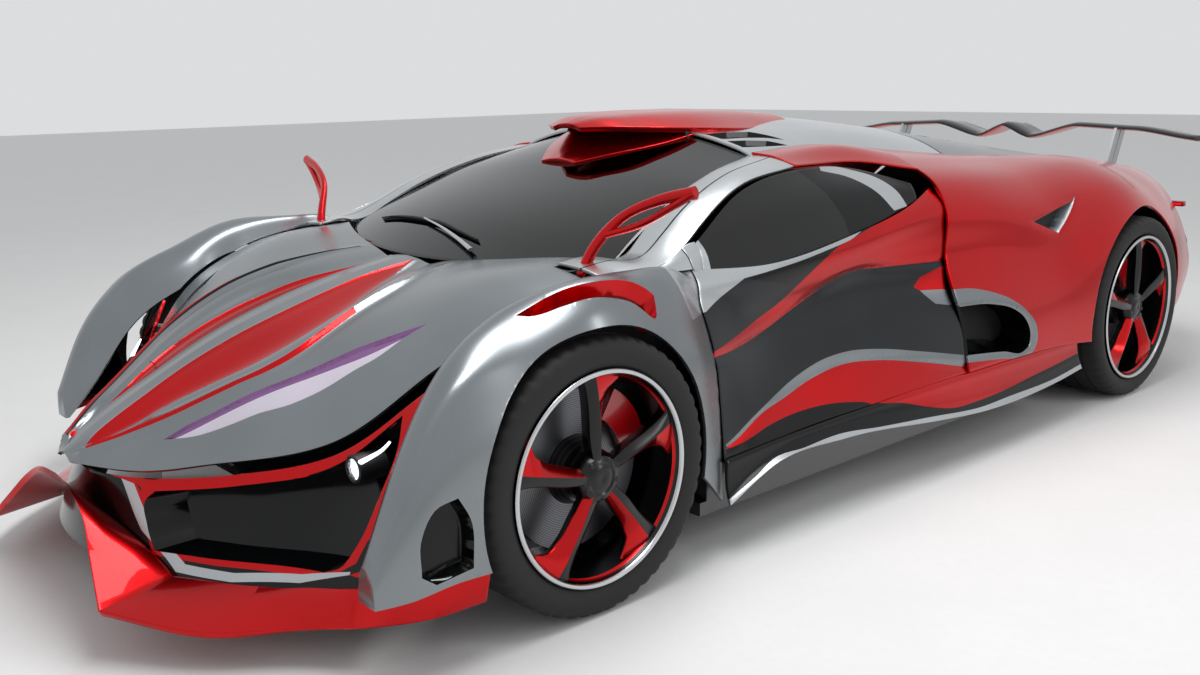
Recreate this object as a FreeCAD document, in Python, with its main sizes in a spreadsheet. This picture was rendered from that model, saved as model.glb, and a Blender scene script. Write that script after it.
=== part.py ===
import FreeCAD, Part
import math
import os
import Sketcher

V = FreeCAD.Vector
doc = FreeCAD.newDocument("supercar")

# Driving dimensions in millimetres and degrees: name, value
SIZES = [
    ("wheelbase", 2700), ("front_overhang", 945), ("rear_overhang", 935), ("body_width", 2044),
    ("ride_height", 110), ("roof_height", 1085),
    ("front_track", 1716), ("rear_track", 1700),
    ("front_tyre_radius", 330), ("front_tyre_width", 254), ("front_rim_radius", 258),
    ("rear_tyre_radius", 342), ("rear_tyre_width", 324), ("rear_rim_radius", 273),
    ("tyre_shoulder", 34), ("rim_wall", 11), ("rim_flange", 9), ("rim_lip", 8),
    ("spoke_depth", 34), ("spoke_setback", 20), ("spoke_count", 5), ("hub_radius", 72), ("hub_depth", 56),
    ("disc_radius", 192), ("disc_thickness", 32), ("disc_hat_radius", 84), ("spindle_radius", 30),
    ("bearing_clearance", 0.05), ("caliper_clearance", 5), ("caliper_depth", 64),
    ("arch_gap", 36), ("lip_gap", 26), ("steering_room", 30), ("seam", 0.3), ("shut_gap", 5),
    ("skin_thickness", 14), ("door_thickness", 52), ("glass_thickness", 6),
    ("floor_thickness", 36), ("wall_thickness", 26), ("sill_height", 130), ("sill_width", 170),
    ("hinge_pin_radius", 7), ("hinge_clearance", 0.05), ("door_axis_tilt", 45),
    ("bumper_depth", 105), ("recess_depth", 78),
    ("lamp_radius", 33), ("lamp_length", 62),
    ("tail_lamp_height", 26), ("tail_lamp_width", 560), ("exhaust_radius", 52), ("exhaust_wall", 3),
    ("exhaust_length", 496), ("diffuser_fin", 8), ("diffuser_fins", 6),
    ("wing_chord", 230), ("wing_thickness", 24), ("wing_height", 945), ("wing_span", 1740),
    ("strut_thickness", 12), ("strut_spacing", 1080), ("strut_gap", 46),
    ("seat_width", 480), ("seat_depth", 500), ("seat_back_height", 620), ("seat_cushion", 110),
    ("seat_spacing", 760), ("steering_wheel_radius", 178), ("steering_rim_radius", 15),
    ("column_radius", 45), ("column_length", 190),
    ("engine_length", 620), ("engine_width", 700), ("engine_height", 470),
    ("arm_radius", 13), ("kingpin_offset", 43), ("kingpin_radius", 10), ("upright_height", 170),
    ("tow_eye_radius", 9), ("tow_eye_depth", 46), ("tow_boss_radius", 19),
    ("jack_pad_radius", 40), ("jack_pad_depth", 12), ("lug_thickness", 16), ("cover_knuckle_radius", 9),
    ("cover_pin_radius", 4),
    ("mirror_tube_radius", 13), ("wiper_radius", 6),
]

sheet = doc.addObject("Spreadsheet::Sheet", "Sizes")
for row, (alias, value) in enumerate(SIZES, start=1):
    sheet.set("A%d" % row, alias)
    sheet.set("B%d" % row, str(value))
    sheet.setAlias("B%d" % row, alias)
doc.recompute()


def size(alias):
    return float(sheet.get(alias))


# The lines plan of the body is drawn with these sizes and then follows the sheet
PLAN_AXLE = 1350.0
PLAN_FRONT = 945.0
PLAN_REAR = 935.0
PLAN_HALF = 1022.0
PLAN_RIDE = 110.0
PLAN_WAIST = 760.0
PLAN_ROOF = 1085.0


def along(y):
    half = size("wheelbase") / 2
    if abs(y) <= PLAN_AXLE:
        return y * half / PLAN_AXLE
    if y < 0:
        return -half + (y + PLAN_AXLE) * size("front_overhang") / PLAN_FRONT
    return half + (y - PLAN_AXLE) * size("rear_overhang") / PLAN_REAR


def across(x):
    return x * size("body_width") / 2 / PLAN_HALF


def up(z):
    lift = size("ride_height") - PLAN_RIDE
    if z <= PLAN_WAIST:
        return z + lift
    stretch = (size("roof_height") - PLAN_WAIST) / (PLAN_ROOF - PLAN_WAIST)
    return PLAN_WAIST + lift + (z - PLAN_WAIST) * stretch


def plan(x, y, z):
    return V(across(x), along(y), up(z))


# Named parts are collected here with their shapes' sources
named = {}


def feature(label, shape):
    thing = doc.addObject("Part::Feature", label)
    thing.Label = label
    thing.Shape = shape
    named[label] = thing
    return thing


def mirror_x(shape):
    return shape.mirror(V(0, 0, 0), V(1, 0, 0))


def block(x0, x1, y0, y1, z0, z1):
    return Part.makeBox(x1 - x0, y1 - y0, z1 - z0, V(x0, y0, z0))


def rod(start, end, radius):
    return Part.makeCylinder(radius, (end - start).Length, start, end - start)


def joined(shapes):
    whole = shapes[0].multiFuse(shapes[1:]) if len(shapes) > 1 else shapes[0]
    return whole.removeSplitter()


def biggest(shape):
    return max(shape.Solids, key=lambda solid: solid.Volume)


def prism_along_x(corners, x0, x1):
    ring = Part.makePolygon([V(x0, y, z) for y, z in corners + corners[:1]])
    return Part.Face(ring).extrude(V(x1 - x0, 0, 0))


def prism_along_y(corners, y0, y1):
    ring = Part.makePolygon([V(x, y0, z) for x, z in corners + corners[:1]])
    return Part.Face(ring).extrude(V(0, y1 - y0, 0))


# Skins: each row is a station y and its outline points (x, z) from the top inner edge outwards
def eased(rows, steps):
    """More stations between the drawn ones, on smooth curves through them."""
    lines = [[V(x, y, z) for x, z in points] for y, *points in rows]
    count = len(lines)
    fine = []
    for i in range(count - 1):
        before, start = lines[max(i - 1, 0)], lines[i]
        end, after = lines[i + 1], lines[min(i + 2, count - 1)]
        for step in range(steps):
            t = step / steps
            fine.append([
                (b * 2 + (c - a) * t + (a * 2 - b * 5 + c * 4 - d) * t ** 2
                 + (b * 3 - a - c * 3 + d) * t ** 3) * 0.5
                for a, b, c, d in zip(before, start, end, after)])
    fine.append(lines[-1])
    return [[plan(*point) for point in line] for line in fine]


def inset(line, depth):
    """The same outline, moved inwards across the wall."""
    moved = []
    for i, point in enumerate(line):
        run = line[min(i + 1, len(line) - 1)] - line[max(i - 1, 0)]
        length = math.hypot(run.x, run.z)
        moved.append(point + V(run.z, 0, -run.x) * (depth / length))
    return moved


def flat_faces(a, b, c, d):
    return [Part.Face(Part.makePolygon([a, b, c, a])), Part.Face(Part.makePolygon([a, c, d, a]))]


def skin(rows, thickness, steps=3):
    outer = eased(rows, steps)
    return walled(outer, [inset(line, thickness) for line in outer])


def walled(outer, inner):
    """A closed wall between two nets of points, every cell of them two flat triangles."""
    last = len(outer) - 1
    edge = len(outer[0]) - 1
    faces = []
    for i in range(last):
        for j in range(edge):
            faces += flat_faces(outer[i][j], outer[i + 1][j], outer[i + 1][j + 1], outer[i][j + 1])
            faces += flat_faces(inner[i][j], inner[i][j + 1], inner[i + 1][j + 1], inner[i + 1][j])
        faces += flat_faces(outer[i][0], inner[i][0], inner[i + 1][0], outer[i + 1][0])
        faces += flat_faces(outer[i][edge], outer[i + 1][edge], inner[i + 1][edge], inner[i][edge])
    for j in range(edge):
        faces += flat_faces(outer[0][j], outer[0][j + 1], inner[0][j + 1], inner[0][j])
        faces += flat_faces(outer[last][j], inner[last][j], inner[last][j + 1], outer[last][j + 1])
    solid = Part.Solid(Part.makeShell(faces))
    if solid.Volume < 0:
        solid.reverse()
    return solid


def both_halves(rows):
    """A row drawn from the centre line outwards, completed to the whole width."""
    whole = []
    for y, *points in rows:
        left = [(-x, z) for x, z in reversed(points) if x > 0]
        whole.append((y, *left, *points))
    return whole


# Sketched parts: every corner of a profile is bound to cells of the sheet
def sketch_on(body, role, name, corners, lift=None):
    sketch = body.newObject("Sketcher::SketchObject", name)
    origin_plane = next(f for f in body.Origin.OriginFeatures if f.Role == role)
    sketch.AttachmentSupport = [(origin_plane, "")]
    sketch.MapMode = "FlatFace"
    if lift:
        sketch.setExpression("AttachmentOffset.Base.z", lift)
    places = [V(float(sketch.evalExpression(u)), float(sketch.evalExpression(v)), 0) for u, v in corners]
    count = len(corners)
    for i in range(count):
        sketch.addGeometry(Part.LineSegment(places[i], places[(i + 1) % count]), False)
    for i in range(count):
        sketch.addConstraint(Sketcher.Constraint("Coincident", i, 2, (i + 1) % count, 1))
    for i, (u, v) in enumerate(corners):
        across_rule = sketch.addConstraint(Sketcher.Constraint("DistanceX", -1, 1, i, 1, places[i].x))
        sketch.setExpression("Constraints[%d]" % across_rule, u)
        up_rule = sketch.addConstraint(Sketcher.Constraint("DistanceY", -1, 1, i, 1, places[i].y))
        sketch.setExpression("Constraints[%d]" % up_rule, v)
    return sketch


def circle_on(body, role, name, radius, lift=None):
    sketch = body.newObject("Sketcher::SketchObject", name)
    origin_plane = next(f for f in body.Origin.OriginFeatures if f.Role == role)
    sketch.AttachmentSupport = [(origin_plane, "")]
    sketch.MapMode = "FlatFace"
    if lift:
        sketch.setExpression("AttachmentOffset.Base.z", lift)
    start = float(sketch.evalExpression(radius))
    sketch.addGeometry(Part.Circle(V(0, 0, 0), V(0, 0, 1), start), False)
    sketch.addConstraint(Sketcher.Constraint("Coincident", 0, 3, -1, 1))
    rule = sketch.addConstraint(Sketcher.Constraint("Radius", 0, start))
    sketch.setExpression("Constraints[%d]" % rule, radius)
    return sketch


def revolved(body, sketch, name):
    turned = body.newObject("PartDesign::Revolution", name)
    turned.Profile = sketch
    turned.ReferenceAxis = (sketch, ["V_Axis"])
    turned.Angle = 360
    return turned


def padded(body, sketch, name, length):
    pad = body.newObject("PartDesign::Pad", name)
    pad.Profile = sketch
    pad.setExpression("Length", length)
    return pad


def wheel_place(thing, end, side):
    """The wheel's own Z points outwards, away from the car."""
    outwards = FreeCAD.Rotation(V(0, 1, 0), 90)
    if side < 0:
        outwards = FreeCAD.Rotation(V(0, 0, 1), 180).multiply(outwards)
    thing.Placement = FreeCAD.Placement(V(0, 0, 0), outwards)
    sign = "" if side > 0 else "-"
    thing.setExpression("Placement.Base.x", "%sSizes.%s_track / 2" % (sign, end))
    thing.setExpression("Placement.Base.y", "%sSizes.wheelbase / 2" % ("-" if end == "front" else ""))
    thing.setExpression("Placement.Base.z", "Sizes.%s_tyre_radius" % end)


SIDES = [("left", 1), ("right", -1)]
ENDS = ["front", "rear"]
seam = size("seam")
gap = size("shut_gap")
wall = size("wall_thickness")


def tyre(end, side_name, side):
    label = "tyre_%s_%s" % (end, side_name)
    body = doc.addObject("PartDesign::Body", label)
    tread = "Sizes.%s_tyre_radius" % end
    half = "Sizes.%s_tyre_width / 2" % end
    bead = "Sizes.%s_rim_radius" % end
    flange = "Sizes.rim_flange + Sizes.rim_lip"
    upper = [
        (bead, "%s - Sizes.rim_lip" % half),
        ("%s + %s" % (bead, flange), "%s - Sizes.rim_lip" % half),
        ("(%s + %s) / 2 + 8" % (bead, tread), half),
        ("%s - 16" % tread, "%s - 6" % half),
        ("%s - 4" % tread, "%s - Sizes.tyre_shoulder / 2" % half),
        (tread, "%s - Sizes.tyre_shoulder" % half),
    ]
    lower = [(u, "-(%s)" % v) for u, v in upper]
    profile = sketch_on(body, "XZ_Plane", label + "_profile", lower + upper[::-1])
    revolved(body, profile, label + "_ring")
    wheel_place(body, end, side)
    named[label] = body


def rim(end, side_name, side):
    label = "rim_%s_%s" % (end, side_name)
    body = doc.addObject("PartDesign::Body", label)
    half = "Sizes.%s_tyre_width / 2" % end
    seat = "(Sizes.%s_rim_radius - Sizes.seam)" % end
    bore = "(Sizes.%s_rim_radius - Sizes.rim_wall)" % end
    flange = "(Sizes.%s_rim_radius + Sizes.rim_flange)" % end
    face = "(%s - Sizes.rim_lip + Sizes.seam)" % half
    outer = "(%s - 1)" % half
    barrel = [(bore, "-%s" % outer), (flange, "-%s" % outer), (flange, "-%s" % face), (seat, "-%s" % face),
              (seat, face), (flange, face), (flange, outer), (bore, outer)]
    revolved(body, sketch_on(body, "XZ_Plane", label + "_profile", barrel), label + "_barrel")
    spoke_lift = "%s - Sizes.spoke_setback - Sizes.spoke_depth" % half
    tip = "(%s + 2)" % bore
    spoke = [("-34", "30"), ("34", "30"), ("16", "%s * 0.52" % tip), ("66", tip), ("6", tip),
             ("-36", "%s * 0.55" % tip)]
    outline = sketch_on(body, "XY_Plane", label + "_spoke_outline", spoke, spoke_lift)
    arm = padded(body, outline, label + "_spoke", "Sizes.spoke_depth")
    doc.recompute()
    ring = body.newObject("PartDesign::PolarPattern", label + "_spokes")
    ring.Originals = [arm]
    ring.Axis = (outline, ["N_Axis"])
    ring.Angle = 360
    ring.setExpression("Occurrences", "Sizes.spoke_count")
    body.Tip = ring
    hub_lift = "%s - Sizes.spoke_setback - Sizes.hub_depth" % half
    hub = circle_on(body, "XY_Plane", label + "_hub_outline", "Sizes.hub_radius", hub_lift)
    body.Tip = padded(body, hub, label + "_hub", "Sizes.hub_depth - 8")
    wheel_place(body, end, side)
    named[label] = body


def brake_disc(end, side_name, side):
    label = "brake_disc_%s_%s" % (end, side_name)
    body = doc.addObject("PartDesign::Body", label)
    seat = "(Sizes.%s_tyre_width / 2 - Sizes.spoke_setback - Sizes.hub_depth - Sizes.seam)" % end
    bore = "(Sizes.spindle_radius + Sizes.bearing_clearance)"
    half = "Sizes.disc_thickness / 2"
    hat = "Sizes.disc_hat_radius"
    profile = [(bore, "-%s" % half), ("Sizes.disc_radius", "-%s" % half), ("Sizes.disc_radius", half),
               (hat, half), (hat + " - 14", seat), (bore, seat)]
    revolved(body, sketch_on(body, "XZ_Plane", label + "_profile", profile), label + "_ring")
    wheel_place(body, end, side)
    named[label] = body


for end in ENDS:
    for side_name, side in SIDES:
        tyre(end, side_name, side)
        rim(end, side_name, side)
        brake_disc(end, side_name, side)


# Wheel carriers: spindle, upright with two kingpin bores, and the brake caliper round the disc
def axle(end):
    y = size("wheelbase") / 2 * (-1 if end == "front" else 1)
    return V(size(end + "_track") / 2, y, size(end + "_tyre_radius"))


def kingpin(end):
    return axle(end) - V(size("kingpin_offset"), 0, 0)


def carrier(end, side):
    centre = axle(end)
    x, y, z = centre
    pin = kingpin(end)
    half = size("disc_thickness") / 2
    reach = size(end + "_tyre_width") / 2 - size("spoke_setback") - size("hub_depth") - 2
    tall = size("upright_height") / 2
    thick = size("kingpin_radius") + 7
    spindle = rod(V(pin.x - thick, y, z), centre + V(reach, 0, 0), size("spindle_radius"))
    plate = block(pin.x - thick, pin.x + thick - 6, y - 34, y + 34, z - tall, z + tall)
    bore = rod(V(pin.x, y, z - tall - 1), V(pin.x, y, z + tall + 1),
               size("kingpin_radius") + size("bearing_clearance"))
    core = rod(V(pin.x, y, z - tall + 40), V(pin.x, y, z + tall - 40), size("kingpin_radius") + 2)
    # The caliper is a sector of a ring with a slot for the disc
    depth = size("caliper_depth") / 2 + half - 10
    inner_radius = size("disc_radius") - 62
    outer_radius = size("disc_radius") + 16
    start = centre - V(depth, 0, 0)
    ring = Part.makeCylinder(outer_radius, 2 * depth, start, V(1, 0, 0))
    ring = ring.cut(Part.makeCylinder(inner_radius, 2 * depth, start, V(1, 0, 0)))
    wide = outer_radius * 2
    sector = prism_along_x([(y, z), (y + wide, z + wide * 0.14), (y + wide * 0.62, z + wide)],
                           x - depth, x + depth)
    gap = size("caliper_clearance")
    slot = Part.makeCylinder(size("disc_radius") + gap, 2 * (half + gap), centre - V(half + gap, 0, 0),
                             V(1, 0, 0))
    bracket = prism_along_x([(y - 20, z + 50), (y + 30, z + 10), (y + inner_radius + 26, z + 58),
                             (y + inner_radius * 0.66, z + inner_radius + 6)],
                            x - depth - 8, x - half - gap)
    caliper = ring.common(sector).cut(slot)
    whole = joined([plate.cut(bore), core, spindle, bracket, caliper])
    whole = whole.cut(rod(V(pin.x, y, z + tall - 40), V(pin.x, y, z + tall + 40),
                          size("kingpin_radius") + size("bearing_clearance")))
    whole = whole.cut(rod(V(pin.x, y, z - tall - 40), V(pin.x, y, z - tall + 40),
                          size("kingpin_radius") + size("bearing_clearance")))
    return whole if side > 0 else mirror_x(whole)


for side_name, side in SIDES:
    feature("knuckle_" + side_name, carrier("front", side))
feature("rear_uprights", Part.makeCompound([carrier("rear", side) for _, side in SIDES]))


# Wishbones: two legs from the chassis to an eye with a kingpin, above and below each axle
def wishbones(end):
    pin = kingpin(end)
    inboard = well_inner(end) + seam
    r = size("arm_radius")
    tall = size("upright_height") / 2
    pieces = []
    for way in (-1, 1):
        face = pin + V(0, 0, way * (tall + 1))
        eye = rod(face, face + V(0, 0, way * 2 * r), size("kingpin_radius") + 7)
        post = rod(face - V(0, 0, way * 32), face + V(0, 0, way * 2), size("kingpin_radius"))
        centre = face + V(0, 0, way * r)
        feet = [V(inboard, pin.y + spread, centre.z * 0.9 + pin.z * 0.1) for spread in (-118, 118)]
        legs = [rod(foot, centre, r * 0.9) for foot in feet]
        pads = [rod(foot, foot + V(24, 0, 0), r * 1.5) for foot in feet]
        arm = joined([eye, post] + legs + pads)
        trim = block(0, inboard, pin.y - 300, pin.y + 300, 0, pin.z * 3)
        pieces.append(arm.cut(trim))
    return pieces


def well_radius(end, gap=size("arch_gap")):
    return size(end + "_tyre_radius") + gap


def well_inner(end):
    """Distance of the wheel well's inner wall from the centre line."""
    inner = size(end + "_track") / 2 - size(end + "_tyre_width") / 2
    if end == "front":
        steer = size("front_tyre_radius") * 0.5
        return inner - steer
    return inner - size("steering_room")


def wheel_well(end, side, gap=size("arch_gap")):
    y = size("wheelbase") / 2 * (-1 if end == "front" else 1)
    start = V(side * well_inner(end), y, size(end + "_tyre_radius"))
    return Part.makeCylinder(well_radius(end, gap), size("body_width"), start, V(side, 0, 0))


def with_wells(shape, ends=("front", "rear"), sides=(1, -1)):
    for end in ends:
        for side in sides:
            shape = shape.cut(wheel_well(end, side))
    return shape


arms = []
for end in ENDS:
    for arm in wishbones(end):
        arms += [arm, mirror_x(arm)]
feature("suspension_arms", Part.makeCompound(arms))

# Chassis tub: floor, sills, bulkheads, cowl, crash boxes and wheel well liners
floor_low = size("ride_height")
floor_top = floor_low + size("floor_thickness")
sill_out = across(905)

# Places on the lines plan: door hinge (x, y, z), bonnet and cover hinges (y, z), tailpipe (x, z)
DOOR_HINGE = (800, -868, 766)
BONNET_HINGE = (-1106, 728)
COVER_HINGE = (752.5, 1023)
EXHAUST = (120, 380)


def side_block(side, x0, x1, y0, y1, z0, z1):
    """A block given on the left side, put on either side."""
    low, high = sorted((side * x0, side * x1))
    return block(low, high, y0, y1, z0, z1)


def pierced(shape, start, end, radius):
    return shape.cut(rod(start, end, radius))


def tub():
    sill_in = sill_out - size("sill_width")
    cabin_front = along(-955)
    cabin_rear = along(470)
    nose = along(-1900)
    tail = along(2040)
    front_half = well_inner("front")
    rear_half = well_inner("rear")
    wide = across(700)
    shapes = [
        block(-sill_out, sill_out, cabin_front, along(930), floor_low, floor_top),
        block(-front_half, front_half, along(-1690), cabin_front, floor_low, floor_top),
        block(-across(240), across(240), nose, cabin_front, floor_low, floor_top),
        block(-rear_half, rear_half, cabin_rear, along(1740), floor_low, floor_top),
        block(-wide, wide, cabin_front - wall, cabin_front, floor_low, up(640)),
        block(-wide, wide, along(-1160), cabin_front, up(640) - wall, up(640)),
        block(-across(690), across(690), cabin_rear, cabin_rear + wall, floor_low, up(868)),
        block(-across(240), across(240), nose, nose + wall, floor_low, up(290)),
        block(-rear_half, rear_half, tail - wall, tail, up(310), up(560)),
    ]
    bonnet_y, bonnet_z = along(BONNET_HINGE[0]), up(BONNET_HINGE[1])
    pin = size("hinge_pin_radius")
    lug = size("lug_thickness")
    for side in (1, -1):
        shapes += [
            side_block(side, sill_in, sill_out, along(-930), along(930), floor_low,
                       floor_low + size("sill_height")),
            side_block(side, front_half, front_half - wall, along(-1690), cabin_front, floor_low, up(390)),
            side_block(side, rear_half, rear_half - wall, cabin_rear, along(1740), floor_low, up(560)),
            side_block(side, rear_half, rear_half - wall, along(1700), tail, up(310), up(560)),
            side_block(side, wide, across(770), cabin_front - wall, along(-905), floor_low, up(720)),
            side_block(side, across(640), across(770), along(420), cabin_rear + wall, floor_low, up(800)),
            # Bracket and pin of the bonnet hinge
            side_block(side, across(580), across(580) + lug, bonnet_y - 20, bonnet_y + 20, up(635),
                       bonnet_z + pin),
            rod(V(side * across(585), bonnet_y, bonnet_z), V(side * across(540), bonnet_y, bonnet_z), pin),
            # Jacking pads under the sills
            *[rod(V(side * (sill_out - 75), along(y), floor_low),
                  V(side * (sill_out - 75), along(y), floor_low - size("jack_pad_depth")),
                  size("jack_pad_radius")) for y in (-800, 800)],
        ]
    whole = with_wells(joined(shapes))
    for side in (1, -1):
        pipe = V(side * across(EXHAUST[0]), tail - 2 * wall, up(EXHAUST[1]))
        whole = pierced(whole, pipe, pipe + V(0, 4 * wall, 0), size("exhaust_radius") + 4)
    return whole


tub_shape = tub()
feature("chassis_tub", tub_shape)

# Bonnet: station y, then half outline from the centre spine over flute, ridge and crown to the edge
BONNET = [
    (-2214, (0, 368), (8, 366), (16, 365), (24, 362), (32, 358), (45, 351)),
    (-2150, (0, 408), (18, 400), (45, 403), (85, 396), (140, 378), (190, 353)),
    (-2000, (0, 490), (45, 478), (95, 488), (160, 478), (270, 432), (352, 370)),
    (-1800, (0, 580), (75, 566), (145, 582), (230, 576), (420, 528), (572, 430)),
    (-1600, (0, 645), (100, 630), (185, 652), (290, 655), (510, 640), (708, 592)),
    (-1350, (0, 705), (125, 690), (215, 714), (340, 724), (580, 735), (770, 700)),
    (-1048, (0, 744), (150, 734), (245, 753), (390, 763), (620, 767), (798, 742)),
]


def screen_base(grow):
    """Upright drum whose front is the line of the windscreen's foot."""
    chord = across(660)
    rise = along(-1035) - along(-1225)
    radius = (chord ** 2 + rise ** 2) / (2 * rise)
    centre = V(0, along(-1225) + radius, 0)
    return Part.makeCylinder(radius + grow, up(2000), centre, V(0, 0, 1))


bonnet = skin(both_halves(BONNET), size("skin_thickness"), 2)
bonnet = bonnet.cut(screen_base(gap))
for side in (1, -1):
    bonnet = bonnet.cut(side_block(side, across(606), across(900), along(-1180), along(-1000), 0, up(900)))
bonnet = biggest(bonnet)


def bonnet_lug(side):
    """The eye that hangs from the bonnet round its hinge pin."""
    y, z = along(BONNET_HINGE[0]), up(BONNET_HINGE[1])
    x0 = across(560) - size("lug_thickness") / 2
    eye = rod(V(side * x0, y, z), V(side * (x0 + size("lug_thickness")), y, z), size("hinge_pin_radius") + 8)
    neck = side_block(side, x0, x0 + size("lug_thickness"), y - 14, y + 14, z, up(762) - 8)
    return [eye, neck]


bonnet = joined([bonnet] + bonnet_lug(1) + bonnet_lug(-1))
for side in (1, -1):
    y, z = along(BONNET_HINGE[0]), up(BONNET_HINGE[1])
    bonnet = pierced(bonnet, V(side * across(500), y, z), V(side * across(640), y, z),
                     size("hinge_pin_radius") + size("hinge_clearance"))
feature("bonnet", biggest(bonnet))

# Front fenders: pods over the front wheels, open below and inside
FENDER = [
    (-1945, (896, 190), (902, 240), (918, 280), (944, 280), (956, 246), (960, 212), (962, 165)),
    (-1860, (846, 312), (880, 400), (922, 460), (950, 456), (974, 400), (988, 290), (984, 165)),
    (-1750, (812, 470), (842, 545), (888, 598), (935, 594), (975, 520), (998, 360), (996, 165)),
    (-1540, (748, 616), (790, 694), (850, 720), (936, 672), (992, 560), (1010, 440), (1006, 300)),
    (-1350, (796, 698), (830, 756), (880, 774), (957, 730), (1006, 622), (1012, 500), (1006, 400)),
    (-1150, (818, 732), (850, 772), (892, 764), (942, 694), (978, 582), (994, 450), (990, 330)),
    (-1000, (822, 740), (850, 758), (878, 728), (912, 640), (945, 550), (962, 410), (966, 240)),
    (-905, (822, 738), (842, 710), (852, 660), (880, 595), (905, 525), (925, 390), (938, 150)),
]

# Side skirts: under door and haunch, with a waved lower edge
SKIRT = [
    (-900, (907, 257), (948, 257), (962, 142)),
    (-730, (907, 264), (950, 264), (966, 212)),
    (-430, (907, 274), (952, 274), (974, 220)),
    (40, (907, 286), (968, 286), (996, 178)),
    (240, (907, 287), (970, 287), (1000, 160)),
    (740, (907, 284), (974, 284), (1002, 164)),
    (930, (907, 280), (974, 280), (1000, 180)),
]


def skirt(inwards=0, rise=0):
    """The skirt, or with two lengths the room it takes out of the door above it."""
    rings = []
    for top_inner, top_outer, low in eased(SKIRT, 2):
        top_inner = top_inner + V(-inwards, 0, rise)
        top_outer = top_outer + V(inwards, 0, rise)
        foot = V(top_inner.x, top_inner.y, low.z + 8)
        rings.append(Part.makePolygon([top_inner, top_outer, low, foot, top_inner]))
    return joined([Part.makeLoft(rings[i:i + 2], True, True) for i in range(len(rings) - 1)])


# Doors: the concave flank under the side window
DOOR = [
    (-900, (822, 738), (842, 710), (852, 660), (880, 595), (905, 525), (925, 390), (938, 255)),
    (-600, (838, 722), (842, 694), (835, 645), (822, 590), (828, 520), (885, 400), (940, 275)),
    (-250, (838, 762), (845, 728), (832, 675), (812, 610), (828, 530), (895, 430), (955, 285)),
    (80, (826, 828), (850, 790), (850, 728), (842, 650), (848, 560), (925, 440), (965, 292)),
    (205, (802, 866), (850, 815), (860, 738), (861, 655), (876, 560), (937, 435), (966, 292)),
]

# Haunches: over the rear wheels, with a band that runs forward above the side window
HAUNCH = [
    (210, (520, 974), (690, 936), (815, 868), (858, 790), (861, 655), (937, 435), (966, 292)),
    (450, (520, 950), (676, 922), (820, 862), (880, 785), (892, 650), (955, 430), (970, 292)),
    (750, (520, 922), (668, 906), (822, 852), (905, 762), (938, 600), (976, 430), (980, 288)),
    (1300, (520, 885), (658, 893), (800, 872), (930, 798), (1012, 650), (1022, 470), (1012, 250)),
    (1750, (520, 845), (662, 840), (838, 758), (918, 655), (962, 555), (976, 430), (966, 280)),
    (2120, (520, 808), (640, 780), (735, 712), (805, 610), (848, 500), (866, 420), (862, 350)),
]
BAND = [
    (-330, (524, 1002), (610, 990), (688, 956)),
    (0, (520, 994), (618, 990), (696, 947)),
    (210, (520, 974), (650, 958), (752, 914)),
]


def door_axis(run):
    """Point on the left door's tilted axis, this far outwards and down from the hinge."""
    tilt = math.radians(size("door_axis_tilt"))
    return plan(*DOOR_HINGE) + V(math.cos(tilt), 0, -math.sin(tilt)) * run


def door_shape():
    """Deep wall whose rear end is bevelled, so that it swings out past the haunch."""
    outer = eased(DOOR, 3)
    inner = [inset(line, size("door_thickness")) for line in outer]
    inner[-1] = [point - V(0, 18, 0) for point in inner[-1]]
    panel = walled(outer, inner).cut(skirt(120, gap + 3))
    quarter = prism_along_x([(along(-893), up(712)), (along(-893), up(752)), (along(-876), up(784)),
                             (along(-856), up(792)), (along(-856), up(712))], across(785), across(820))
    pin = size("hinge_pin_radius")
    boss = rod(door_axis(-4), door_axis(24), pin + 5)
    whole = joined([panel, quarter, boss])
    whole = pierced(whole, door_axis(-70), door_axis(-4), pin + 4 + gap)
    return biggest(pierced(whole, door_axis(-5), door_axis(21), pin + size("hinge_clearance")))


# Openings in the flank, as outlines of (y, z)
INTAKE = [(200, 342), (420, 318), (545, 300), (582, 318), (590, 362), (560, 418), (500, 458), (400, 486),
          (200, 502)]
FENDER_VENT = [(-1845, 250), (-1840, 340), (-1800, 392), (-1728, 396), (-1706, 340), (-1708, 222),
               (-1810, 222)]
QUARTER_VENT = [(640, 725), (800, 668), (950, 782)]


def side_prism(outline, x0, x1):
    return prism_along_x([(along(y), up(z)) for y, z in outline], x0, x1)


fender_bracket = block(across(770) + seam, across(848), along(-950), along(-915), up(650), up(690))
fender = joined([skin(FENDER, size("skin_thickness")), fender_bracket])
fender = fender.cut(wheel_well("front", 1, size("lip_gap")))
# Upright vent in the front of the pod
fender = biggest(fender.cut(side_prism(FENDER_VENT, across(930), across(1100))))
door = door_shape()
haunch = skin(HAUNCH, size("skin_thickness")).fuse(skin(BAND, size("skin_thickness")))
haunch = haunch.cut(wheel_well("rear", 1))
haunch = biggest(haunch.cut(block(0, across(520), along(-400), along(2200), 0, up(1200))))
# Side intake: an arched mouth in the haunch, open towards the door
intake = side_prism(INTAKE, across(840), across(1100))
haunch = biggest(haunch.cut(intake).cut(side_prism(QUARTER_VENT, across(850), across(1100))))

for side_name, side in SIDES:
    for label, shape in (("front_fender", fender), ("door", door), ("haunch", haunch)):
        feature("%s_%s" % (label, side_name), shape if side > 0 else mirror_x(shape))

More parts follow.
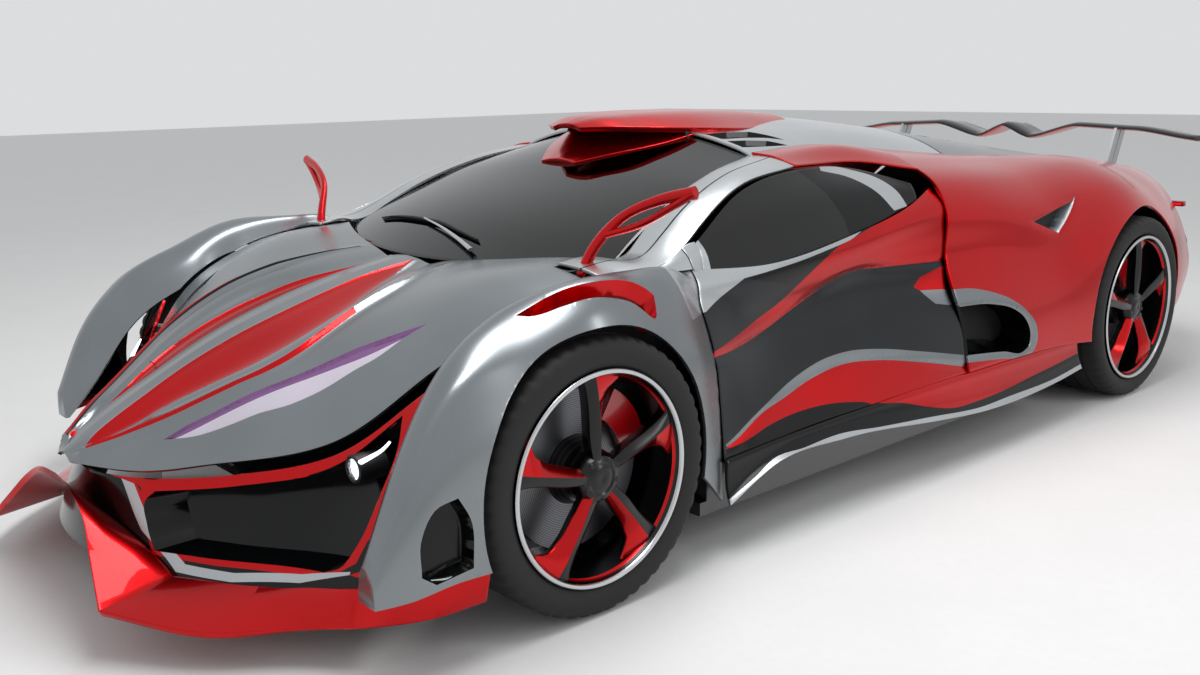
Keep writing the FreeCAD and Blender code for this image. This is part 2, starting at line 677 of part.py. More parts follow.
# Roof and engine cover share the station behind the cabin
ROOF = [
    (-344, (0, 1072), (300, 1048), (420, 1024), (520, 994), (572, 968)),
    (200, (0, 1085), (300, 1058), (420, 1030), (520, 980), (572, 948)),
    (750, (0, 1030), (300, 1003), (420, 970), (520, 922), (572, 890)),
]
COVER = [
    (750, (0, 1030), (300, 1003), (420, 970), (520, 922)),
    (1300, (0, 950), (300, 932), (420, 912), (520, 885)),
    (1900, (0, 862), (300, 855), (420, 845), (520, 828)),
]
DECK = [
    (1900, (0, 862), (300, 855), (420, 845), (520, 828)),
    (2130, (0, 835), (300, 830), (420, 822), (520, 808)),
]


def trimmed(shape, y0, y1, half_width):
    tall = size("roof_height") * 2
    return shape.common(block(-half_width, half_width, y0, y1, 0, tall))


roof_whole = skin(both_halves(ROOF), size("skin_thickness"))
roof = joined([trimmed(roof_whole, along(-330) - seam, along(750), across(520) - seam),
               trimmed(roof_whole, along(-344), along(-330) - seam, across(572))])
cover = trimmed(skin(both_halves(COVER), size("skin_thickness")), along(750) + gap, along(1900) - gap,
                across(520) - gap)
deck = trimmed(skin(both_halves(DECK), size("skin_thickness")), along(1900) + 3, along(2120) + 5,
               across(520) - seam)

# The cover's hinge: a knuckle on the cover between two ears on the roof, all on one pin
COVER_PIN_HALF = 64
KNUCKLE_HALF = 42


def cover_line(x):
    return V(x, along(COVER_HINGE[0]), up(COVER_HINGE[1]))


def across_line(half, radius):
    return rod(cover_line(-half), cover_line(half), radius)


knuckle = across_line(KNUCKLE_HALF, size("cover_knuckle_radius"))
arm_back = block(-KNUCKLE_HALF, KNUCKLE_HALF, along(752.5), along(752.5) + 26, up(1012), up(1022))
cover = joined([cover, knuckle, arm_back])
cover = cover.cut(across_line(COVER_PIN_HALF, size("cover_pin_radius") + size("hinge_clearance")))
ear_room = joined([across_line(COVER_PIN_HALF + 12, size("cover_knuckle_radius") + 4),
                   block(-COVER_PIN_HALF - 12, COVER_PIN_HALF + 12, along(752.5) - 12, along(752.5) + 12,
                         up(1000), up(1030))])
cover = biggest(cover.cut(ear_room.cut(across_line(KNUCKLE_HALF, 60))))
feature("engine_cover", cover)
roof = roof.cut(across_line(KNUCKLE_HALF + gap, size("cover_knuckle_radius") + gap))
ears = [rod(cover_line(side * (KNUCKLE_HALF + gap)), cover_line(side * (COVER_PIN_HALF + 4)),
            size("cover_knuckle_radius")) for side in (1, -1)]
ear_arms = [side_block(side, KNUCKLE_HALF + gap, COVER_PIN_HALF + 4, along(752.5) - 30, along(752.5),
                       up(1012), up(1022)) for side in (1, -1)]
roof = joined([roof, across_line(COVER_PIN_HALF, size("cover_pin_radius"))] + ears + ear_arms)

# A pillars: broad strips between windscreen and side glass; station y, inner and outer edge
PILLAR = [
    (-1168, (614, 760), (802, 732)),
    (-1070, (628, 766), (808, 746)),
    (-1026, (655, 756), (808, 750)),
    (-985, (652, 758), (804, 756)),
    (-868, (624, 818), (774, 796)),
    (-800, (607, 855), (755, 831)),
    (-570, (564, 936), (697, 919)),
    (-331, (521, 980), (686, 954)),
]


def pillar_strip():
    rings = []
    for y, inner, outer in PILLAR:
        a, b = plan(inner[0], y, inner[1]), plan(outer[0], y, outer[1])
        under = V(0, 0, -size("skin_thickness"))
        rings.append(Part.makePolygon([a, b, b + under, a + under, a]))
    strip = Part.makeLoft(rings, True, True)
    pin = size("hinge_pin_radius")
    lug = rod(door_axis(-52), door_axis(-10), pin + 4)
    return joined([strip, lug, rod(door_axis(-20), door_axis(20), pin)])


pillar = pillar_strip()
feature("roof", joined([roof, pillar, mirror_x(pillar)]))

# Windscreen: bows from foot to header, each from its middle point to its corner
SCREEN = [
    ((0, -1205, 722), (650, -1020, 742)),
    ((0, -1010, 822), (620, -890, 806)),
    ((0, -700, 938), (575, -640, 908)),
    ((0, -338, 1056), (516, -338, 982)),
]


def windscreen(steps=8):
    outer = []
    for middle, corner in SCREEN:
        line = []
        for i in range(-steps, steps + 1):
            share = (i / steps) ** 2
            line.append(plan(corner[0] * i / steps, middle[1] + (corner[1] - middle[1]) * share,
                             middle[2] + (corner[2] - middle[2]) * share))
        outer.append(line)
    lean = V(0, size("glass_thickness") * 0.5, -size("glass_thickness") * 0.87)
    return walled(outer, [[point + lean for point in line] for line in outer])


feature("windscreen", biggest(windscreen().cut(named["roof"].Shape)))

# Side glass: a leaf between the door's waist, the pillar and the band
GLASS = [
    (-850, (812, 722), (800, 778), (786, 798)),
    (-600, (822, 714), (778, 842), (718, 908)),
    (-300, (826, 748), (774, 878), (700, 952)),
    (-60, (822, 792), (780, 880), (712, 936)),
    (120, (814, 834), (802, 864), (788, 884)),
]


def side_glass():
    outer = eased([(y, *points[::-1]) for y, *points in GLASS], 3)
    return walled(outer, [inset(line, size("glass_thickness")) for line in outer])


glass = biggest(side_glass().cut(door))
for side_name, side in SIDES:
    feature("door_glass_" + side_name, glass if side > 0 else mirror_x(glass))

# Front bumper: a deep wall between splitter and bonnet, with a lamp recess in each corner
NOSE = [
    ((0, -2205, 128), (200, -2185, 128), (400, -2110, 128), (600, -1995, 128), (815, -1900, 128)),
    ((0, -2192, 220), (200, -2158, 222), (400, -2040, 226), (600, -1920, 232), (805, -1862, 240)),
    ((0, -2170, 318), (200, -2110, 326), (395, -1962, 346), (590, -1806, 405), (752, -1655, 560)),
]


def nose_wall(front_set, depth):
    """The nose between two depths behind its face, lofted upwards."""
    outer = []
    inner = []
    for half in NOSE:
        line = [(-x, y, z) for x, y, z in reversed(half) if x > 0] + list(half)
        outer.append([plan(*point) + V(0, front_set, 0) for point in line])
        inner.append([plan(*point) + V(0, front_set + depth, 0) for point in line])
    return walled(outer, inner)


bumper = nose_wall(0, size("bumper_depth"))
recess_front = nose_wall(-size("recess_depth"), 2 * size("recess_depth"))
MOUTH = [(290, 176), (700, 180), (758, 240), (742, 440), (690, 500), (600, 376), (400, 318), (250, 300),
         (232, 270)]
for side in (1, -1):
    opening = prism_along_y([(side * across(x), up(z)) for x, z in MOUTH], along(-2260), along(-1600))
    bumper = bumper.cut(recess_front.common(opening))
bumper = with_wells(bumper, ("front",)).cut(fender).cut(mirror_x(fender))
crash_box = block(-across(240), across(240), along(-2110), along(-1900) - seam, up(150), up(290))
tow_x, tow_z = across(150), up(205)
tow_face = along(-2184)
bumper = joined([biggest(bumper), crash_box,
                 rod(V(tow_x, tow_face, tow_z), V(tow_x, tow_face + 90, tow_z), size("tow_boss_radius"))])
bumper = pierced(bumper, V(tow_x, tow_face - 1, tow_z), V(tow_x, tow_face + size("tow_eye_depth"), tow_z),
                 size("tow_eye_radius"))
feature("front_bumper", biggest(bumper))

# Splitter: a folded blade; each station has its outer edge, inner edge and thickness
BLADE = [
    ((0, -2238, 322), (0, -2196, 262), (0, 10, -16)),
    ((110, -2242, 312), (140, -2180, 246), (0, 10, -16)),
    ((210, -2250, 268), (250, -2152, 206), (0, 10, -16)),
    ((300, -2272, 200), (330, -2128, 166), (0, 10, -16)),
    ((400, -2296, 122), (385, -2124, 146), (0, 8, -16)),
    ((600, -2148, 92), (545, -2014, 142), (0, 8, -16)),
    ((732, -1996, 96), (668, -1946, 156), (-6, 12, -12)),
    ((850, -1896, 106), (862, -1882, 196), (-14, 12, 0)),
    ((926, -1796, 118), (940, -1780, 208), (-16, 8, 0)),
    ((962, -1676, 132), (982, -1676, 206), (-16, 4, 0)),
]


def splitter():
    rings = []
    for outer, inner, back in BLADE:
        a, b, back = plan(*outer), plan(*inner), V(*back)
        rings.append(Part.makePolygon([a, b, b + back, a + back * 0.6, a]))
    halves = [Part.makeLoft(rings[i:i + 2], True, True) for i in range(len(rings) - 1)]
    half = joined(halves)
    return joined([half, mirror_x(half)])


blade = with_wells(splitter().cut(named["front_bumper"].Shape).cut(fender).cut(mirror_x(fender)),
                   ("front",))
feature("splitter", biggest(blade))

# Side skirts, cut free of the wheel wells and seated under the haunch
side_skirt = biggest(with_wells(skirt().cut(haunch), ("rear", "front"), (1,)))
feature("side_skirts", Part.makeCompound([side_skirt, mirror_x(side_skirt)]))

# Roof scoop: an open duct that stands on the roof and reaches out over the windscreen
SCOOP = [
    (-615, (0, 1082), (32, 1079), (64, 1070)),
    (-560, (0, 1098), (84, 1092), (152, 1072)),
    (-450, (0, 1108), (150, 1099), (240, 1068)),
    (-320, (0, 1112), (192, 1103), (304, 1062)),
    (0, (0, 1106), (200, 1094), (318, 1048)),
    (200, (0, 1094), (190, 1080), (300, 1040)),
]
SCOOP_FLOOR = [
    (-655, (0, 974), (40, 971), (80, 964)),
    (-560, (0, 1012), (90, 1006), (165, 991)),
    (-450, (0, 1052), (150, 1042), (250, 1016)),
    (-330, (0, 1092), (192, 1078), (304, 1048)),
]


def scoop():
    lid = skin(both_halves(SCOOP), size("skin_thickness"), 2)
    lip = skin(both_halves(SCOOP_FLOOR), size("skin_thickness"), 2)
    cheek = prism_along_x([(along(-365), up(1020)), (along(-365), up(1058)), (along(-250), up(1068)),
                           (along(190), up(1044)), (along(190), up(960)), (along(-365), up(960))],
                          across(278), across(292))
    return [lid, lip, cheek, mirror_x(cheek)]


# What lies below roof and glass is taken off the scoop
BELOW_GLASS = [
    (-620, (0, 962), (150, 958), (300, 945), (420, 925), (520, 895)),
    (-330, (0, 1060), (150, 1053), (300, 1033), (420, 1007), (520, 982)),
]
duct = joined(scoop())
for rows in (ROOF, BELOW_GLASS):
    top = eased(both_halves(rows), 3)
    duct = duct.cut(walled(top, [[V(point.x, point.y, up(700)) for point in line] for line in top]))
feature("roof_scoop", biggest(duct.cut(named["windscreen"].Shape)))

# Rear: fixed deck and fascia with lamp slot, exhaust mouths and a bare plate field; (x, z) from the top
TAIL = [(0, 833), (520, 804), (636, 774), (728, 708), (798, 606), (842, 500), (858, 400), (846, 352),
        (760, 320), (420, 300)]


def fascia():
    outline = [(across(x), up(z)) for x, z in TAIL]
    outline += [(-x, z) for x, z in reversed(outline[1:])]
    panel = prism_along_y(outline, along(2120) + seam, along(2165))
    slot_low = up(640)
    lamp = size("tail_lamp_height")
    for side in (1, -1):
        x0 = side * across(270)
        slot = block(*sorted((x0, x0 + side * size("tail_lamp_width"))), along(2140), along(2200),
                     slot_low, slot_low + lamp)
        panel = panel.cut(slot)
        mouth = rod(V(side * across(120), along(2100), up(380)), V(side * across(120), along(2200), up(380)),
                    size("exhaust_radius") + 4)
        panel = panel.cut(mouth)
    return panel.cut(block(-across(260), across(260), along(2155), along(2200), up(480), up(600)))


tail_tow = V(-across(330), along(2172), up(420))
rear_panel = joined([fascia(), deck, rod(tail_tow, tail_tow - V(0, 50, 0), size("tow_boss_radius"))])
rear_panel = pierced(rear_panel, tail_tow + V(0, 1, 0), tail_tow - V(0, size("tow_eye_depth"), 0),
                     size("tow_eye_radius"))
feature("rear_fascia", biggest(rear_panel))
lamps = []
for side in (1, -1):
    x0 = side * (across(270) + 2)
    x1 = side * (across(270) + size("tail_lamp_width") - 2)
    lamps.append(block(*sorted((x0, x1)), along(2140) + seam, along(2165) + 4,
                       up(640) + 2, up(640) + size("tail_lamp_height") - 2))
feature("tail_lamps", Part.makeCompound(lamps))

# Diffuser: a rising floor with upright fins
def diffuser():
    front = along(1740) + seam
    floor = prism_along_x([(front, up(112)), (along(2210), up(286)), (along(2210), up(299.7)),
                           (along(2120), up(299.7)), (front, up(136))], -across(640), across(640))
    fins = []
    count = int(size("diffuser_fins"))
    thick = size("diffuser_fin")
    for i in range(count):
        x = -across(600) + i * across(1200) / (count - 1)
        fins.append(prism_along_x([(along(1790), up(140)), (along(2200), up(285)), (along(2235), up(200)),
                                   (along(2150), up(140))], x - thick / 2, x + thick / 2))
    return joined([floor] + fins)


feature("diffuser", biggest(diffuser()))

# Exhaust: two open tailpipes held by one silencer
pipes = []
for side in (1, -1):
    start = V(side * across(EXHAUST[0]), along(1694), up(EXHAUST[1]))
    length = V(0, size("exhaust_length"), 0)
    pipe = rod(start, start + length, size("exhaust_radius"))
    pipes.append(pipe.cut(rod(start + V(0, 60, 0), start + length * 1.1, size("exhaust_radius")
                              - size("exhaust_wall"))))
silencer = block(-across(330), across(330), along(1480), along(1700), floor_top + seam, up(470))
feature("exhaust", joined(pipes + [silencer]))

# Rear wing: a W shaped plane; each station gives its height above the sheet's wing height
WING = [(0, 32), (130, -20), (345, 36), (620, 24), (870, -12)]


def wing():
    rings = []
    chord = size("wing_chord")
    thick = size("wing_thickness")
    stations = [(-x, rise) for x, rise in reversed(WING) if x > 0] + WING
    for x, rise in stations:
        half_span = WING[-1][0]
        centre = V(x * size("wing_span") / 2 / half_span, along(2064), size("wing_height") + rise)
        back = chord * (1 - 0.12 * abs(x) / half_span)
        section = [(0, 0), (back * 0.12, thick * 0.5), (back * 0.45, thick * 0.62), (back, thick * 1.2),
                   (back, thick * 0.95), (back * 0.5, -thick * 0.3), (back * 0.15, -thick * 0.38)]
        corners = [centre + V(0, y, z) for y, z in section]
        rings.append(Part.makePolygon(corners + corners[:1]))
    return joined([Part.makeLoft(rings[i:i + 2], True, True) for i in range(len(rings) - 1)])


wing_shape = wing()
feature("rear_wing", wing_shape)
struts = []
for side in (1, -1):
    for shift in (0, size("strut_gap")):
        x = side * across(size("strut_spacing") / 2)
        blade = prism_along_x([(along(1965) + shift, up(760)), (along(2010) + shift, up(760)),
                               (along(2120) + shift, size("wing_height") + 60),
                               (along(2080) + shift, size("wing_height") + 60)],
                              x - size("strut_thickness") / 2, x + size("strut_thickness") / 2)
        blade = blade.cut(haunch if side > 0 else mirror_x(haunch)).cut(wing_shape).cut(deck)
        middle = [solid for solid in blade.Solids
                  if up(790) < solid.CenterOfMass.z < size("wing_height")]
        struts.append(max(middle, key=lambda solid: solid.Volume))
feature("wing_struts", Part.makeCompound(struts))

# Mirrors: an open loop of two bent tubes that meet at the tip, on a foot beside the screen
ARMS = [
    [(668, -1140, 735), (688, -1118, 800), (742, -1074, 878), (850, -1040, 930), (950, -1022, 952)],
    [(714, -1098, 838), (800, -1060, 868), (890, -1034, 918), (950, -1022, 952)],
]


def mirror():
    r = size("mirror_tube_radius")
    pieces = []
    for line in ARMS:
        points = [plan(*point) for point in line]
        pieces += [rod(a, b, r) for a, b in zip(points, points[1:])]
        pieces += [Part.makeSphere(r, point) for point in points[1:]]
    return joined(pieces)


door_mirror = biggest(mirror().cut(tub_shape).cut(named["roof"].Shape))
feature("mirrors", Part.makeCompound([door_mirror, mirror_x(door_mirror)]))

# Headlamps: round lamps on the back wall of each recess
lamps = []
for side in (1, -1):
    centre = plan(side * 655, -1800, 385)
    lamp = rod(centre + V(0, -10, 0), centre + V(0, size("lamp_length") + 60, 0), size("lamp_radius"))
    lamp = lamp.cut(named["front_bumper"].Shape)
    lamps.append(biggest(lamp))
feature("headlamps", Part.makeCompound(lamps))

# Cabin: seats, dashboard, steering wheel
def seat(side):
    x = side * across(size("seat_spacing") / 2)
    half = across(size("seat_width") / 2)
    front = along(-330)
    back = front + size("seat_depth")
    low = floor_top + seam
    top = low + 120 + size("seat_cushion")
    lean = size("seat_back_height") * 0.36
    side_view = [(front, low), (front, top), (back - 110, top - 40), (back - 70 + lean, top + 500),
                 (back + 40 + lean * 0.8, top + 500), (back, low)]
    body = prism_along_x(side_view, x - half, x + half)
    hollow = prism_along_x([(front - 1, top - 50), (front - 1, top + 600), (back + 200, top + 600),
                            (back - 80 + lean, top + 500), (back - 122, top - 90)],
                           x - half + 70, x + half - 70)
    return body.cut(hollow)


feature("seats", Part.makeCompound([seat(1), seat(-1)]))
dash_side = [(along(-955) + seam, up(470)), (along(-955) + seam, up(700)), (along(-900), up(720)),
             (along(-700), up(690)), (along(-640), up(600)), (along(-700), up(500))]
HUB = V(across(size("seat_spacing") / 2), along(-530), up(670))
COLUMN_TILT = 22
column_way = V(0, -math.cos(math.radians(COLUMN_TILT)), -math.sin(math.radians(COLUMN_TILT)))
column_room = rod(HUB, HUB + column_way * (size("column_length") + seam), size("column_radius") + seam)
feature("dashboard", prism_along_x(dash_side, -across(690), across(690)).cut(column_room))


def steering_wheel():
    label = "steering_wheel"
    body = doc.addObject("PartDesign::Body", label)
    rim_r = "Sizes.steering_wheel_radius"
    tube = "Sizes.steering_rim_radius"
    ring = [(rim_r + " - " + tube, "-%s * 0.5" % tube), (rim_r + " - " + tube, "%s * 0.5" % tube),
            (rim_r + " - %s * 0.5" % tube, tube), (rim_r + " + %s * 0.5" % tube, tube),
            (rim_r + " + " + tube, "%s * 0.5" % tube), (rim_r + " + " + tube, "-%s * 0.5" % tube),
            (rim_r + " + %s * 0.5" % tube, "-%s" % tube), (rim_r + " - %s * 0.5" % tube, "-%s" % tube)]
    revolved(body, sketch_on(body, "XZ_Plane", label + "_profile", ring), label + "_rim")
    bar = [("-%s" % rim_r, "-22"), (rim_r, "-22"), (rim_r, "22"), ("-%s" % rim_r, "22")]
    padded(body, sketch_on(body, "XY_Plane", label + "_bar_outline", bar), label + "_bar", tube)
    column = circle_on(body, "XY_Plane", label + "_column_outline", "Sizes.column_radius")
    post = padded(body, column, label + "_column", "Sizes.column_length")
    post.Reversed = True
    body.Tip = post
    return body


wheel = steering_wheel()
wheel.Placement = FreeCAD.Placement(HUB, FreeCAD.Rotation(V(1, 0, 0), COLUMN_TILT - 90))
named["steering_wheel"] = wheel

# Engine: one plain block behind the cabin
engine = doc.addObject("Part::Box", "engine")
engine.setExpression("Length", "Sizes.engine_width")
engine.setExpression("Width", "Sizes.engine_length")
engine.setExpression("Height", "Sizes.engine_height")
engine.setExpression("Placement.Base.x", "-Sizes.engine_width / 2")
engine.setExpression("Placement.Base.y", "Sizes.wheelbase / 2 - Sizes.engine_length - 180")
engine.setExpression("Placement.Base.z", "Sizes.ride_height + Sizes.floor_thickness + Sizes.seam")
named["engine"] = engine

# Wiper: a stalk in front of the screen's foot, its arm, and the blade along the glass
WIPER = [(120, -1208, 752), (-60, -1098, 812), (-236, -1080, 805)]
stalk, elbow, tip = [plan(*point) for point in WIPER]
wiper = joined([rod(stalk, elbow, size("wiper_radius")), rod(elbow, tip, size("wiper_radius")),
                Part.makeSphere(size("wiper_radius"), elbow),
                rod(V(stalk.x, stalk.y, up(640) + seam), stalk, size("wiper_radius") * 1.5)])
feature("wiper", biggest(wiper.cut(named["windscreen"].Shape)))
doc.recompute()

bad = [t.Label for t in doc.Objects if "Invalid" in t.State or "Error" in t.State]
for label, thing in named.items():
    if thing.Shape.isNull() or not thing.Shape.isValid():
        bad.append(label + " shape")
if bad:
    raise RuntimeError("failed: %s" % bad)
os.makedirs("parts", exist_ok=True)
for label, thing in named.items():
    thing.Shape.exportStep("parts/%s.step" % label)
    print(label, len(thing.Shape.Solids), round(thing.Shape.Volume / 1e6, 2), len(thing.Shape.Faces))
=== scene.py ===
# %% [markdown]
# A mid-engined two-seat supercar, dressed for rendering.
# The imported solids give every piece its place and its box. This script makes
# smooth painted panels, glass, wheels and trim around them, part by part, and
# each new piece moves with the body that carries it.
# Lengths are written in millimetres, as on the drawings, and turned to metres
# once, where a mesh is made.

# %% load the frame
import bmesh
import bpy
import numpy as np
from math import atan2, cos, hypot, pi, radians, sin
from mathutils import Matrix, Vector


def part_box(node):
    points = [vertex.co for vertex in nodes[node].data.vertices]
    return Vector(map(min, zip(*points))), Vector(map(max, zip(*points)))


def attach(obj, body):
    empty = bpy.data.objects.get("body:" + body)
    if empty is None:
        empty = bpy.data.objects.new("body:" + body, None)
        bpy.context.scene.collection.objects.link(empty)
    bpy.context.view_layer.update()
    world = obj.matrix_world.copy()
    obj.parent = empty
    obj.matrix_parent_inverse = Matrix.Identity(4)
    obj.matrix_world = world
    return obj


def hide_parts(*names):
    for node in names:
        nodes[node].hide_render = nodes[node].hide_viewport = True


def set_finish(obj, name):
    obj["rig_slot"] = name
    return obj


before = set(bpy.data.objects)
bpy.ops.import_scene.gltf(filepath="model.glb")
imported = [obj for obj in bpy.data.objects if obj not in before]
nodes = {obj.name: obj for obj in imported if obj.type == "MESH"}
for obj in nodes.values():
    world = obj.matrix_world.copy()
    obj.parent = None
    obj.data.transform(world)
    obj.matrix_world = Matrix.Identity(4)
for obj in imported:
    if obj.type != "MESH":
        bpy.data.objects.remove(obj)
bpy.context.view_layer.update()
MM = 0.001


# %% [markdown]
# Colours are noted as sRGB hex, as a paint chart gives them. The shader wants
# linear light, so one function turns them over. A second small function adds
# a shader node with its settings and its links, which keeps each material to
# a few lines that can be read from top to bottom.

# %% colour and shader helpers
def srgb(code):
    """sRGB hex to linear RGBA."""
    channels = [int(code[i:i + 2], 16) / 255 for i in (1, 3, 5)]
    linear = [c / 12.92 if c <= 0.04045 else ((c + 0.055) / 1.055) ** 2.4 for c in channels]
    return (*linear, 1.0)


def node(tree, kind, values=None, links=None, **settings):
    """One shader node: socket values and links by socket name or number, settings by property."""
    made = tree.nodes.new(kind)
    for name, value in settings.items():
        setattr(made, name, value)
    for name, value in (values or {}).items():
        made.inputs[name].default_value = value
    for name, source in (links or {}).items():
        tree.links.new(source, made.inputs[name])
    return made


def blank(name):
    """An empty material, and Object coordinates in metres."""
    made = bpy.data.materials.new(name)
    made.use_nodes = True
    tree = made.node_tree
    tree.nodes.clear()
    place = node(tree, "ShaderNodeTexCoord").outputs["Object"]
    return made, tree, place


def finish(made, tree, shader):
    """Joins the shader to the material's output."""
    node(tree, "ShaderNodeOutputMaterial", links={"Surface": shader.outputs[0]})
    return made


def coat_of(name, colour, rough, metallic=0.0, grain=1.2, tone=0.08, depth=0.0, spread=0.05, stretch=(1, 1, 1),
            **shader):
    """A finish with a fine grain. grain is its size in mm, tone how far the colour wanders,
    spread how far the roughness wanders, depth the height of its bumps in mm."""
    made, tree, place = blank(name)
    scaled = node(tree, "ShaderNodeMapping", {"Scale": stretch}, {"Vector": place})
    fine = node(tree, "ShaderNodeTexNoise", {"Scale": 1000 / grain, "Detail": 3.0, "Roughness": 0.6},
                {"Vector": scaled.outputs[0]})
    broad = node(tree, "ShaderNodeTexNoise", {"Scale": 3.0, "Detail": 2.0}, {"Vector": place})
    both = node(tree, "ShaderNodeMath", {}, {0: fine.outputs["Fac"], 1: broad.outputs["Fac"]}, operation="MULTIPLY")
    lift = node(tree, "ShaderNodeMapRange", {"From Min": 0.12, "From Max": 0.38}, {"Value": both.outputs[0]})
    base = srgb(colour)[:3]
    low = [c * (1 - tone) for c in base] + [1]
    high = [min(1, c * (1 + tone)) for c in base] + [1]
    # Sockets 6 and 7 of a colour mix are its two colours, and output 2 is the mixed one.
    shade = node(tree, "ShaderNodeMix", {6: low, 7: high}, {0: lift.outputs[0]}, data_type="RGBA")
    sheen = node(tree, "ShaderNodeMapRange", {"To Min": max(0.0, rough - spread),
                                              "To Max": min(1.0, rough + spread)},
                 {"Value": broad.outputs["Fac"]})
    values = {"Metallic": metallic, **{key.replace("_", " "): value for key, value in shader.items()}}
    links = {"Base Color": shade.outputs[2], "Roughness": sheen.outputs[0]}
    if depth:
        bump = node(tree, "ShaderNodeBump", {"Strength": 1.0, "Distance": depth * MM},
                    {"Height": fine.outputs["Fac"]})
        links["Normal"] = bump.outputs[0]
    body = node(tree, "ShaderNodeBsdfPrincipled", values, links)
    return finish(made, tree, body)


# %% [markdown]
# The body is carbon fibre sprayed in three paints. The grey parts are a satin
# metallic: aluminium flake under a low-gloss clear coat, which gives wide soft
# highlights. The red is a candy coat: bright flake under a dyed layer, so it
# stays deep where it mirrors the white studio. Silver marks pillars and edges.
# Flake is about 0.1 mm on the real car; it is drawn at 1.5 mm so that it shows.

# %% paints
GUNMETAL = coat_of("satin_gunmetal_paint", "#868b8e", 0.28, 0.95, 1.5, 0.10, 0.012, 0.04, Coat_Weight=0.25,
                   Coat_Roughness=0.22)
DARK_GREY = coat_of("satin_dark_grey_paint", "#26292b", 0.34, 0.9, 1.5, 0.12, 0.012, 0.04, Coat_Weight=0.3,
                    Coat_Roughness=0.2)
SILVER = coat_of("satin_silver_paint", "#b9bdbf", 0.27, 0.9, 1.5, 0.07, 0.010, 0.04, Coat_Weight=0.4,
                 Coat_Roughness=0.12)
RED = coat_of("gloss_red_paint", "#c4060c", 0.26, 0.95, 1.5, 0.08, 0.0, 0.05, Coat_Weight=0.35, Coat_Roughness=0.03)
# The darker red below is painted shade: a shaded copy of the red, for the floor of the fender slot.
PAINTED_SHADE_RED = coat_of("gloss_red_painted_shade", "#7a040a", 0.28, 0.95, 1.5, 0.08, 0.0, 0.05, Coat_Weight=0.3,
                   Coat_Roughness=0.04)
# The pale pearl below is a painted highlight, for the floor of the bonnet leaf.
LEAF_HIGHLIGHT = coat_of("pale_leaf_painted_highlight", "#d8d0de", 0.16, 0.5, 1.0, 0.10, 0.0, 0.05, Coat_Weight=0.8,
                Coat_Roughness=0.03)
# The violet below is a painted reflection of violet light, along the upper edge of the bonnet leaf.
VIOLET_REFLECTION = coat_of("violet_painted_reflection", "#86548f", 0.18, 0.7, 1.0, 0.15, 0.0, 0.05, Coat_Weight=1.0,
                 Coat_Roughness=0.03)
BLACK = coat_of("piano_black_lacquer", "#050607", 0.14, 0.0, 4.0, 0.10, 0.0, 0.04, Specular_IOR_Level=0.3)
print("paints:", 8)

# %% [markdown]
# Under the paint are moulded plastics, rubber, cast and machined metal, woven
# carbon and leather. Each has its own grain: moulded polypropylene has a fine
# leather-like pebble, cast aluminium is dull and sandy, and brushed steel has
# lines along the pipe. The sizes are those of the real grain, from 1 to 4 mm.

# %% plastics, rubber and metals
SATIN_BLACK = coat_of("moulded_black_plastic", "#101112", 0.48, 0.0, 2.0, 0.15, 0.05, 0.06)
MATT_BLACK = coat_of("matt_black_plastic", "#0b0b0c", 0.72, 0.0, 2.5, 0.2, 0.08, 0.06)
RUBBER = coat_of("tyre_rubber", "#131314", 0.72, 0.0, 3.0, 0.2, 0.10, 0.08)
GLOSS_RIM = coat_of("gloss_black_wheel_paint", "#060708", 0.2, 0.0, 3.0, 0.1, 0.0, 0.04, Specular_IOR_Level=0.4)
MACHINED = coat_of("machined_aluminium", "#c3c5c7", 0.24, 1.0, 1.5, 0.08, 0.01, 0.05)
CHROME = coat_of("chromed_trim", "#d5d8da", 0.09, 1.0, 4.0, 0.03, 0.0, 0.02)
CAST = coat_of("cast_aluminium", "#7c7d7e", 0.55, 0.9, 1.2, 0.14, 0.12, 0.06)
STEEL_ARMS = coat_of("powder_coated_steel", "#17181a", 0.5, 0.2, 1.2, 0.12, 0.08, 0.06)
EXHAUST = coat_of("brushed_exhaust_steel", "#a19d97", 0.3, 1.0, 1.0, 0.15, 0.03, 0.08, stretch=(1, 0.06, 1))
ENGINE = coat_of("cast_engine_alloy", "#5d5f61", 0.55, 0.85, 2.0, 0.15, 0.15, 0.06)
CALIPER = coat_of("red_caliper_enamel", "#b40a12", 0.25, 0.0, 2.0, 0.08, 0.02, 0.05, Coat_Weight=0.8,
                  Coat_Roughness=0.08)
LEATHER = coat_of("black_leather", "#1a1918", 0.55, 0.0, 2.2, 0.18, 0.18, 0.07)
print("plastics, rubber and metals:", 12)


# %% [markdown]
# The tub and the inner ducts are bare carbon fibre: a 2 by 2 twill of tows
# about 2 mm wide, under clear resin. Two sets of fine stripes at right angles
# make it, and a checker of the same pitch chooses which tow lies on top. It is
# drawn at 6 mm so that it shows at this distance.

